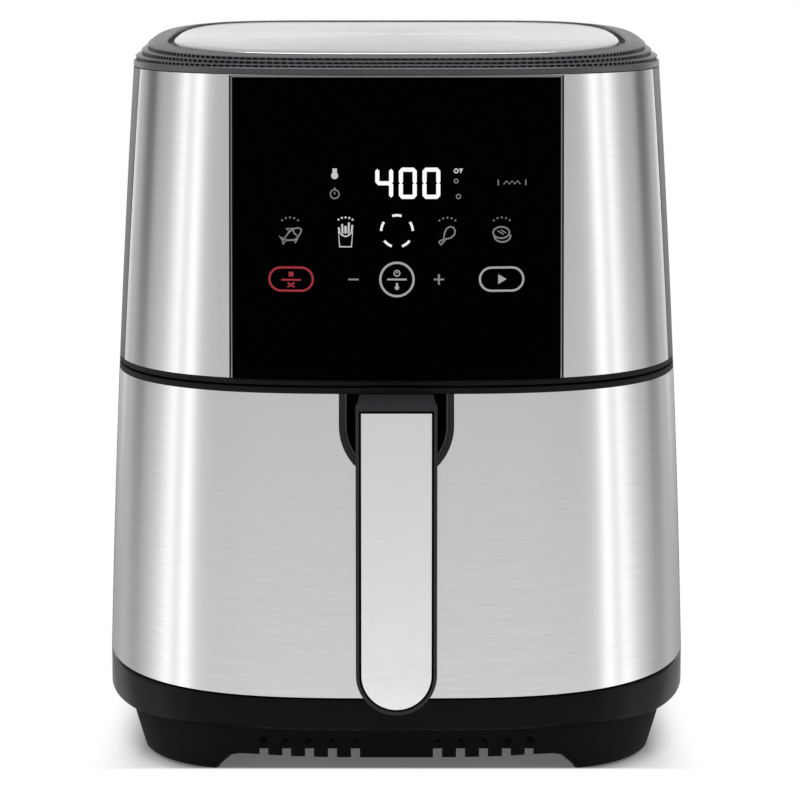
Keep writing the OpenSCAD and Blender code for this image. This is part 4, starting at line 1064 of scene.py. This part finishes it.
# Recess bezel: a rim that follows the wall
rimFront, rimBack = centreY + recess["rimFront"], centreY + recess["rimBack"]
innerRadius = recess["radius"] - recess["rim"]
piece = recessForm("recessBezel", recess["radius"] - 0.05 * mm, rimFront, rimBack, skinTop)
combine(piece, recessForm("bezelInside", innerRadius, farFront, centreY, overDrawer))
for vert in piece.data.vertices:
    if vert.co.y < rimFront + mm:
        vert.co.y = float(frontY(vert.co.x, vert.co.z, -recess["proud"]))
softenEdges(piece, recess["rimEdge"], 3, angle=50)
finishPiece(piece, "drawer", "charcoalAbs", ["recess_bezel"])

# The well behind the rim: deep sides and a back, near black as painted shade in the recess
piece = recessForm("recessWell", recess["radius"] - recess["wellFit"], rimBack - mm, recess["backY"], skinTop)
combine(piece, recessForm("wellInside", innerRadius - recess["wellFit"], farFront,
                          recess["backY"] - recess["wellBack"], overDrawer))
finishPiece(piece, "drawer", "wellShadeAbs", ["recess_bezel"])

# Satin bead along the rim's inner edge, paler than the rim: a painted highlight line along the rim's inner edge
beadBack = centreY + recess["beadBack"]
piece = recessForm("bezelHighlightBead", innerRadius, rimFront, beadBack, skinTop)
combine(piece, recessForm("beadInside", innerRadius - recess["bead"], farFront, centreY, overDrawer))
for vert in piece.data.vertices:
    base = float(frontY(vert.co.x, vert.co.z, 0))
    atFront = vert.co.y < (rimFront + beadBack) / 2
    vert.co.y = base + (recess["beadSunk"] if atFront else recess["beadDepth"])
softenEdges(piece, recess["beadEdge"], 2, angle=50)
finishPiece(piece, "drawer", "satinGreyAbs", ["recess_bezel"])
print("bezel done")

# Handle: a bar round at its lower end, on a neck that narrows into the recess
gripLow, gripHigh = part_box("handle_grip")
handle = {
    "barDepth": 14 * mm,
    "border": 1.35 * mm,
    "groove": 0.95 * mm,
    "inlayDepth": 1.6 * mm,
    "inlaySunk": 0.05 * mm,
    "inlayEdge": 0.5 * mm,
    "bedThickness": 0.3 * mm,
    "neckHeight": 19 * mm,
    "neckFront": 16.3 * mm,
    "neckBack": 15.4 * mm,
    "edge": 0.85 * mm,
    "ovals": [(9.6, 17, 0.7), (7.4, 13.4, 0.6)],  # half sizes and line width in millimetres
    "ovalsY": -141 * mm,
    "ovalsSunk": 0.02 * mm,
}


def gripForm(name, inset, frontEnd, backEnd):
    half = gripHigh.x - inset
    low = gripLow.z + inset + half
    rod = addRod(name, (0, (frontEnd + backEnd) / 2, low), half, backEnd - frontEnd, 128)
    box = addBox(name + "Top", (-half, frontEnd, low), (half, backEnd, gripHigh.z - inset))
    combine(rod, box, "UNION")
    return rod


barBack = gripLow.y + handle["barDepth"]
seatY = gripLow.y + handle["inlayDepth"]
piece = gripForm("handleGrip", 0, gripLow.y, barBack)
neck = addBox("neck", (-handle["neckFront"], barBack - 2 * mm, gripHigh.z - handle["neckHeight"]),
              (handle["neckFront"], gripHigh.y, gripHigh.z))
for vert in neck.data.vertices:
    if vert.co.y > gripHigh.y - mm:
        vert.co.x *= handle["neckBack"] / handle["neckFront"]
combine(piece, neck, "UNION")
combine(piece, gripForm("inlaySeat", handle["border"], gripLow.y - 5 * mm, seatY))
softenEdges(piece, handle["edge"], 3, angle=40)
pad = joinPieces("thumbPad", [ovalLine(0, 0, *oval) for oval in handle["ovals"]])
for vert in pad.data.vertices:
    vert.co = (vert.co.x, centreY + handle["ovalsY"] + vert.co.z, gripHigh.z - handle["ovalsSunk"] + vert.co.y)
piece = joinPieces("handleGrip", [piece, pad])
finishPiece(piece, "drawer", "charcoalAbs", ["handle_grip"])

# A near-black sheet under the inlay: painted shade in the groove round it
bedTop = seatY - handle["bedThickness"]
piece = gripForm("inlayShadeBed", handle["border"] + 0.02 * mm, bedTop, seatY - 0.01 * mm)
finishPiece(piece, "drawer", "wellShadeAbs", ["handle_grip"])

piece = gripForm("handleInlay", handle["border"] + handle["groove"], gripLow.y + handle["inlaySunk"], bedTop)
softenEdges(piece, handle["inlayEdge"], 3, angle=50)
# the inlay's steel is painted paler than the skin: painted light
finishPiece(piece, "drawer", "inlayLitSteel", ["handle_inlay"])
print("handle done")

# Cap: collar, three stepped rows of vent openings, frame and plate
vent = {
    "rows": 3,
    "footShare": 0.3,  # of a row's step inwards, the part that lies below its riser
    "slotLow": 0.04,
    "slotHigh": 0.62,
    "slotDepth": 1.8 * mm,
    "pitch": 3.2 * mm,
    "ribWidth": 0.95 * mm,
    "ribSunk": 0.12 * mm,
    "reach": 116 * mm,
    "fadeFrom": -10 * mm,
    "fadeTo": 30 * mm,
    "shoulder": [(0.67, 0.0), (0.74, 0.2 * mm), (0.86, 0.7 * mm), (1.0, 1.5 * mm)],
    "overlap": 0.02,  # the ribs run past the slots' ends by this share, the painted-shade backs stop short by half of it
}


def stepHeight(share):
    return collarTop + share * ventRise, collarSlope + share * (topSlope - collarSlope)


def ventRing(row, level, inset, at):
    # a ring on a row's riser: level 0 at its foot and 1 at its head
    z, slope = stepHeight((row + level) / vent["rows"])
    return capRing((row + vent["footShare"]) / vent["rows"], inset, z, slope, at)


# the rows run on round the sides as plain grooves and fade out behind the middle
ventAngles = spacedAngles(480)
slotDepths = vent["slotDepth"] * (1 - smoothStep(outlineXY(ventAngles)[1], vent["fadeFrom"], vent["fadeTo"]))
slotLow, slotHigh = vent["slotLow"], vent["slotHigh"]
riser = [(0, 0), (slotLow, 0), (slotLow, slotDepths), (slotHigh, slotDepths), (slotHigh, 0)] + vent["shoulder"]
# share, inset, height and slope of the rings below and behind the rows
foot = [(0, 0.3 * mm, collarHeight + 0.2 * mm, collarSlope), (0, 0.0, collarHeight + 0.6 * mm, collarSlope),
        (0, 0.0, collarTop - 0.4 * mm, collarSlope), (0, 0.4 * mm, collarTop, collarSlope)]
back = [(1, 1.0 * mm, frameHeight - 0.2 * mm, topSlope), (1, 1.0 * mm, frameHeight - 5 * mm, topSlope),
        (0, wallThickness, collarTop - 2 * mm, collarSlope),
        (0, wallThickness, collarHeight + 0.2 * mm, collarSlope)]
collarRings = [capRing(*step, ventAngles) for step in foot]
for row in range(vent["rows"]):
    collarRings += [ventRing(row, level, inset, ventAngles) for level, inset in riser]
collarRings += [capRing(*step, ventAngles) for step in back]
piece = sweepRings("ventCollar", collarRings)
finishPiece(piece, "housing", "satinGreyAbs", ["vent_collar"])

# Backs for the slots, just off their floors, in a darker grey: painted shade inside the slots
backDepths = np.maximum(slotDepths - 0.15 * mm, 0.05 * mm)
behind = slotDepths + 0.3 * mm
backLow, backHigh = slotLow + vent["overlap"] / 2, slotHigh - vent["overlap"] / 2
profile = [(backLow, backDepths), (backHigh, backDepths), (backHigh, behind), (backLow, behind)]
backs = []
for row in range(vent["rows"]):
    backs.append(sweepRings("slotBack", [ventRing(row, level, inset, ventAngles) for level, inset in profile]))
    cutAt(backs[-1], centreY + vent["fadeTo"], True)
piece = joinPieces("slotShadeBacks", backs)
finishPiece(piece, "housing", "slotShadeAbs", ["vent_collar"])

# Ribs between the openings: one is modelled and copied along each row
rib = addBox("rib", (-0.5, -0.5, -0.5), (0.5, 0.5, 0.5))
ribs = []
alongFront = fineAngles[(fineAngles > math.pi) & (fineAngles < 2 * math.pi)]
baseRing = ventRing(1, 0.5, 0, alongFront)
run = runAlong(baseRing[:, 0], baseRing[:, 1])
middleRun = np.interp(0, baseRing[:, 0], run)
half = int((np.interp(vent["reach"], baseRing[:, 0], run) - middleRun) / vent["pitch"])
for row in range(vent["rows"]):
    for k in range(-half, half):
        at = np.interp(middleRun + (k + 0.5) * vent["pitch"], run, alongFront)
        spot = np.array([at - 1e-3, at, at + 1e-3])
        low = ventRing(row, slotLow - vent["overlap"], vent["ribSunk"], spot)
        high = ventRing(row, slotHigh + vent["overlap"], vent["ribSunk"], spot)
        along = (low[2] - low[0]) / np.linalg.norm(low[2] - low[0])
        inward = np.array([-along[1], along[0], 0])
        copy = copyPiece(rib, "rib")
        for vert in copy.data.vertices:
            base = high[1] if vert.co.z > 0 else low[1]
            sideways = along * vert.co.x * vent["ribWidth"]
            vert.co = base + sideways + inward * (vert.co.y + 0.5) * vent["slotDepth"]
        ribs.append(copy)
bpy.data.objects.remove(rib)
piece = joinPieces("ventRibs", ribs)
finishPiece(piece, "housing", "satinGreyAbs", ["vent_collar"])

# Frame and plate: their width, groove and profiles (inset, rise) are in millimetres
capFrame = {
    "width": 8.0,
    "wider": 1.0 * mm,
    "outer": [(0, -4), (0, -0.8), (0.25, -0.3), (1.0, 0), (2.4, 0.1)],
    # the inner edge is a raised bead over a deep groove, measured from the frame's width
    "bead": [(-1.5, 0.45), (-1.2, 0.63), (-0.8, 0.72), (-0.35, 0.57), (-0.08, 0.15), (0.0, -0.6), (0.0, -3.2),
             (40, -3.2), (40, -4)],
}
plate = {
    "groove": 3.0,
    "height": 0.45 * mm,
    "slope": 0.0655,
    "profile": [(0, -3.4), (0, -0.6), (0.14, -0.32), (0.4, -0.1), (0.8, 0), (12, 0.26), (35, 0.68), (70, 1.0)],
}
frameRings = [capRing(1, inset * mm, frameHeight + rise * mm, topSlope) for inset, rise in capFrame["outer"]]
frameRings += [capRing(1, (capFrame["width"] + inset) * mm, frameHeight + rise * mm, topSlope,
                       wider=capFrame["wider"]) for inset, rise in capFrame["bead"]]
piece = sweepRings("topFrame", frameRings)
# the frame's grey is painted a little darker than the collar's: painted shade
finishPiece(piece, "housing", "frameShadedGreyAbs", ["top_frame"])

plateInset = capFrame["width"] + plate["groove"]
plateZ = frameHeight + plate["height"]
plateRings = [capRing(1, (plateInset + inset) * mm, plateZ + rise * mm, plate["slope"], wider=capFrame["wider"])
              for inset, rise in plate["profile"]]
piece = sweepRings("topPlate", plateRings, closed=False)
finishPiece(piece, "housing", "topSteel", ["top_plate"])
print("cap done")

# Basket: a deep pan with rounded bottom edges and a rolled rim
pan = {
    "wall": 1.6 * mm,
    "corner": 44 * mm,
    "cornerLeast": 6 * mm,
    "flange": 4 * mm,
    "bottomRadius": 9 * mm,
    "rimThickness": 1.6 * mm,
    "roll": 0.5 * mm,
    "rimCorner": 0.6 * mm,
    "straight": 5 * mm,
}


def panRing(inset, z):
    low = (basketLow.x + pan["flange"] + inset, basketLow.y + pan["flange"] + inset)
    high = (basketHigh.x - pan["flange"] - inset, basketHigh.y - pan["flange"] - inset)
    return cornerRing(low, high, max(pan["corner"] - inset, pan["cornerLeast"]), z)


def bottomCurve(radius, low, inset):
    turns = [math.pi / 2 * k / 6 for k in range(7)]
    return [(inset + radius * (1 - math.sin(t)), low + radius * (1 - math.cos(t))) for t in turns]


rimZ, rimUnder = basketHigh.z, basketHigh.z - pan["rimThickness"]
profile = bottomCurve(pan["bottomRadius"], basketLow.z, 0)
profile += [(0, rimZ - pan["straight"]), (0, rimUnder - pan["rimCorner"]), (-pan["rimCorner"], rimUnder),
            (-pan["flange"] + pan["roll"], rimUnder), (-pan["flange"], rimZ - pan["rimThickness"] / 2),
            (-pan["flange"] + pan["roll"], rimZ), (pan["rimCorner"], rimZ), (pan["wall"], rimZ - mm),
            (pan["wall"], rimZ - pan["straight"])]
profile += bottomCurve(pan["bottomRadius"] - pan["wall"], basketLow.z + pan["wall"], pan["wall"])[::-1]
piece = sweepRings("basketPan", [panRing(inset, z) for inset, z in profile], closed=False)
finishPiece(piece, "drawer", "nonStickCoating", ["basket"])
print("basket done")

# Finishes of the parts that keep their own shapes
nodeFinishes = {
    "mattBlackAbs": ["bottom_cover", "rear_vent", "cord_gland", "door_switch"],
    "blackRubber": ["foot_pads"],
    "zincScrew": ["base_screws", "motor_screws", "fan_nut", "handle_screws"],
    "greenBoard": ["display_board", "power_board"],
    "milkyPolycarbonate": ["display_module"],
    "springSteel": ["touch_springs", "drawer_rails", "heater_clips", "motor_shaft"],
    "aluminisedSheet": ["chamber_liner", "fan_guard", "guard_posts", "heat_shield", "motor_bracket",
                        "exhaust_duct", "basket_bracket"],
    "heaterSheath": ["heater_coil"],
    "motorLamination": ["fan_motor"],
    "drawnSensorTube": ["temperature_sensor"],
    "glazedCeramic": ["thermal_fuse"],
    "redAcetal": ["switch_plunger"],
    "stampedAluminium": ["convection_fan", "cooling_fan"],
    "nonStickCoating": ["crisper_tray"],
    "redSilicone": ["tray_bumpers"],
}
for finish, nodes in nodeFinishes.items():
    for node in nodes:
        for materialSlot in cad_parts[node].material_slots:
            materialSlot.material = finishes[finish]
print("node finishes done")

# Camera, floor and light
camera = {"distance": 1400 * mm, "height": 318.3 * mm, "pitch": 6.87, "lens": 134.23, "shift": 0.0044,
          "near": 50 * mm}
bpy.ops.object.camera_add(location=(0, centreY - camera["distance"], camera["height"]),
                          rotation=(math.radians(90 - camera["pitch"]), 0, 0))
bpy.context.object.data.lens = camera["lens"]
bpy.context.object.data.shift_x = camera["shift"]
bpy.context.object.data.clip_start = camera["near"]
bpy.context.scene.camera = bpy.context.object

lamps = {
    "topBox": {"place": (0, -0.3, 1.5), "size": (1.6, 1.2), "power": 20},
    "frontBox": {"place": (-0.5, -1.9, 1.0), "size": (1.0, 1.0), "power": 13},
}
aim = np.array((0, centreY, 0.15))
for name, values in lamps.items():
    bpy.ops.object.light_add(type="AREA", location=values["place"])
    softbox = bpy.context.object
    softbox.name = name
    softbox.data.shape = "RECTANGLE"
    softbox.data.size, softbox.data.size_y = values["size"]
    softbox.data.energy = values["power"]
    direction = aim - np.array(values["place"])
    softbox.rotation_euler = (math.acos(direction[2] / np.linalg.norm(direction)) + math.pi, 0,
                              math.atan2(direction[1], direction[0]) - math.pi / 2)
    softbox.visible_camera = False

scene = bpy.context.scene
scene.view_settings.view_transform = "Standard"
world = bpy.data.worlds.new("studio") if scene.world is None else scene.world
scene.world = world
world.use_nodes = True
tree = world.node_tree
tree.nodes.clear()
# What the metal reflects, by direction round the object: 0 degrees is the camera's side. The front is an even
# grey, tall lamps that narrow upwards stand at the sides, dark flags stand behind them and a pale wall stands
# at the back, at the horizon only. The first list is the studio near the floor, the second at the horizon, the
# third further up; each height is the upward part of a direction of length 1
studioFront = [(0, 0.32), (62, 0.325), (72, 0.375), (78, 0.46), (81, 0.62), (84, 0.88), (87.5, 1.0),
               (90, 0.8), (93, 0.68), (95.5, 0.74), (99, 0.98), (103, 0.76), (107, 0.57), (111, 0.42),
               (116, 0.36)]
studio = {
    "strength": 1.9,
    "daylight": 0.45,
    "low": [(0, 0.65), (40, 0.63), (60, 0.61), (70, 0.59), (76, 0.6), (80, 0.7), (83, 0.86), (87, 0.98),
            (90, 0.93), (93.5, 0.74), (96.5, 0.7), (100, 0.86), (103.5, 0.96), (107, 0.9), (113, 0.72),
            (119, 0.56), (125, 0.42), (131, 0.33), (138, 0.32), (147, 0.36), (153, 0.3), (158, 0.22),
            (170, 0.2), (180, 0.3)],
    "high": studioFront + [(124, 0.35), (128.5, 0.26), (132, 0.08), (138, 0.07), (142, 0.2), (147, 0.34),
                           (151, 0.34), (154, 0.8), (157, 0.8), (160, 0.3), (166, 0.48), (171, 0.8),
                           (180, 0.8)],
    "top": studioFront + [(124, 0.3), (132, 0.1), (142, 0.16), (152, 0.24), (165, 0.27), (180, 0.27)],
    "lowAt": -0.15,
    "highAt": 0.03,
    "topFrom": 0.1,
    "topAt": 0.22,
}
place = addNode(tree, "ShaderNodeTexCoord")
split = addNode(tree, "ShaderNodeSeparateXYZ", links={"Vector": place.outputs["Generated"]})
sideways = addNode(tree, "ShaderNodeMath", {"operation": "ABSOLUTE"}, {0: split.outputs["X"]})
backwards = addNode(tree, "ShaderNodeMath", {"operation": "MULTIPLY", 1: -1.0}, {0: split.outputs["Y"]})
azimuth = addNode(tree, "ShaderNodeMath", {"operation": "ARCTAN2"},
                  {0: sideways.outputs[0], 1: backwards.outputs[0]})
turn = addNode(tree, "ShaderNodeMath", {"operation": "DIVIDE", 1: math.pi}, {0: azimuth.outputs[0]})
ramps = {}
for level in ("low", "high", "top"):
    ramp = addNode(tree, "ShaderNodeValToRGB", links={"Fac": turn.outputs[0]})
    while len(ramp.color_ramp.elements) < len(studio[level]):
        ramp.color_ramp.elements.new(0.5)
    for element, (degrees, value) in zip(ramp.color_ramp.elements, studio[level]):
        element.position = degrees / 180
        element.color = (value, value, value, 1)
    ramps[level] = ramp.outputs["Color"]
sky = ramps["low"]
for fromAt, toAt, upper in (("lowAt", "highAt", "high"), ("topFrom", "topAt", "top")):
    rise = addNode(tree, "ShaderNodeMapRange", {"From Min": studio[fromAt], "From Max": studio[toAt]},
                   {"Value": split.outputs["Z"]})
    sky = addNode(tree, "ShaderNodeMix", {"data_type": "RGBA"},
                  {"Factor": rise.outputs["Result"], 6: sky, 7: ramps[upper]}).outputs[2]
glossy = addNode(tree, "ShaderNodeBackground", {"Strength": studio["strength"]}, {"Color": sky})
diffuse = addNode(tree, "ShaderNodeBackground", {"Color": (1, 1, 1, 1), "Strength": studio["daylight"]})
white = addNode(tree, "ShaderNodeBackground", {"Color": (1, 1, 1, 1), "Strength": 1.0})
path = addNode(tree, "ShaderNodeLightPath")
first = addNode(tree, "ShaderNodeMixShader", links={"Fac": path.outputs["Is Glossy Ray"], 1: diffuse.outputs[0],
                                                    2: glossy.outputs[0]})
second = addNode(tree, "ShaderNodeMixShader", links={"Fac": path.outputs["Is Camera Ray"], 1: first.outputs[0],
                                                     2: white.outputs[0]})
addNode(tree, "ShaderNodeOutputWorld", links={"Surface": second.outputs[0]})

# Floor: white paper that keeps the shadow close round the feet. To the camera it glows plain white outside a
# rectangle that fades out at its sides, front and rear
paper = {
    "colour": "#f4f4f4",
    "roughness": 0.9,
    "sideFrom": 106 * mm,
    "sideTo": 138 * mm,
    "frontFrom": -112.5 * mm,
    "frontTo": -117 * mm,
    "rearFrom": 106 * mm,
    "rearTo": 158 * mm,
    "lift": 0.12,
}
bpy.ops.object.select_all(action="DESELECT")
bpy.ops.mesh.primitive_plane_add(size=8, location=(0, 0, 0))
floor = startPiece("studioFloor")
tree = newMaterial("studioPaper")
matt = addNode(tree, "ShaderNodeBsdfPrincipled", {"Base Color": toLinear(paper["colour"]),
                                                  "Roughness": paper["roughness"], "Specular IOR Level": 0.0})
glow = addNode(tree, "ShaderNodeEmission", {"Color": (1, 1, 1, 1), "Strength": 1.0})
path = addNode(tree, "ShaderNodeLightPath")
place = addNode(tree, "ShaderNodeTexCoord")
split = addNode(tree, "ShaderNodeSeparateXYZ", links={"Vector": place.outputs["Object"]})
across = addNode(tree, "ShaderNodeMath", {"operation": "ABSOLUTE"}, {0: split.outputs["X"]})
fadeSide = addNode(tree, "ShaderNodeMapRange",
                   {"interpolation_type": "SMOOTHSTEP", "From Min": paper["sideFrom"],
                    "From Max": paper["sideTo"]}, {"Value": across.outputs[0]})
fadeFront = addNode(tree, "ShaderNodeMapRange",
                    {"From Min": centreY + paper["frontFrom"], "From Max": centreY + paper["frontTo"]},
                    {"Value": split.outputs["Y"]})
fadeRear = addNode(tree, "ShaderNodeMapRange",
                   {"interpolation_type": "SMOOTHSTEP", "From Min": centreY + paper["rearFrom"],
                    "From Max": centreY + paper["rearTo"]}, {"Value": split.outputs["Y"]})
fade = fadeSide.outputs[0]
for other in (fadeFront.outputs[0], fadeRear.outputs[0]):
    fade = addNode(tree, "ShaderNodeMath", {"operation": "MAXIMUM"}, {0: fade, 1: other}).outputs[0]
lifted = addNode(tree, "ShaderNodeMath", {"operation": "MAXIMUM", 1: paper["lift"]}, {0: fade})
seen = addNode(tree, "ShaderNodeMath", {"operation": "MULTIPLY"},
               {0: lifted.outputs[0], 1: path.outputs["Is Camera Ray"]})
mix = addNode(tree, "ShaderNodeMixShader",
              links={"Fac": seen.outputs[0], 1: matt.outputs[0], 2: glow.outputs[0]})
addNode(tree, "ShaderNodeOutputMaterial", {"target": "ALL"}, {"Surface": mix.outputs[0]})
floor.data.materials.append(finishes["studioPaper"])
floor.visible_glossy = False  # metal reflects the studio down to below the horizon
print("camera, floor and light done")
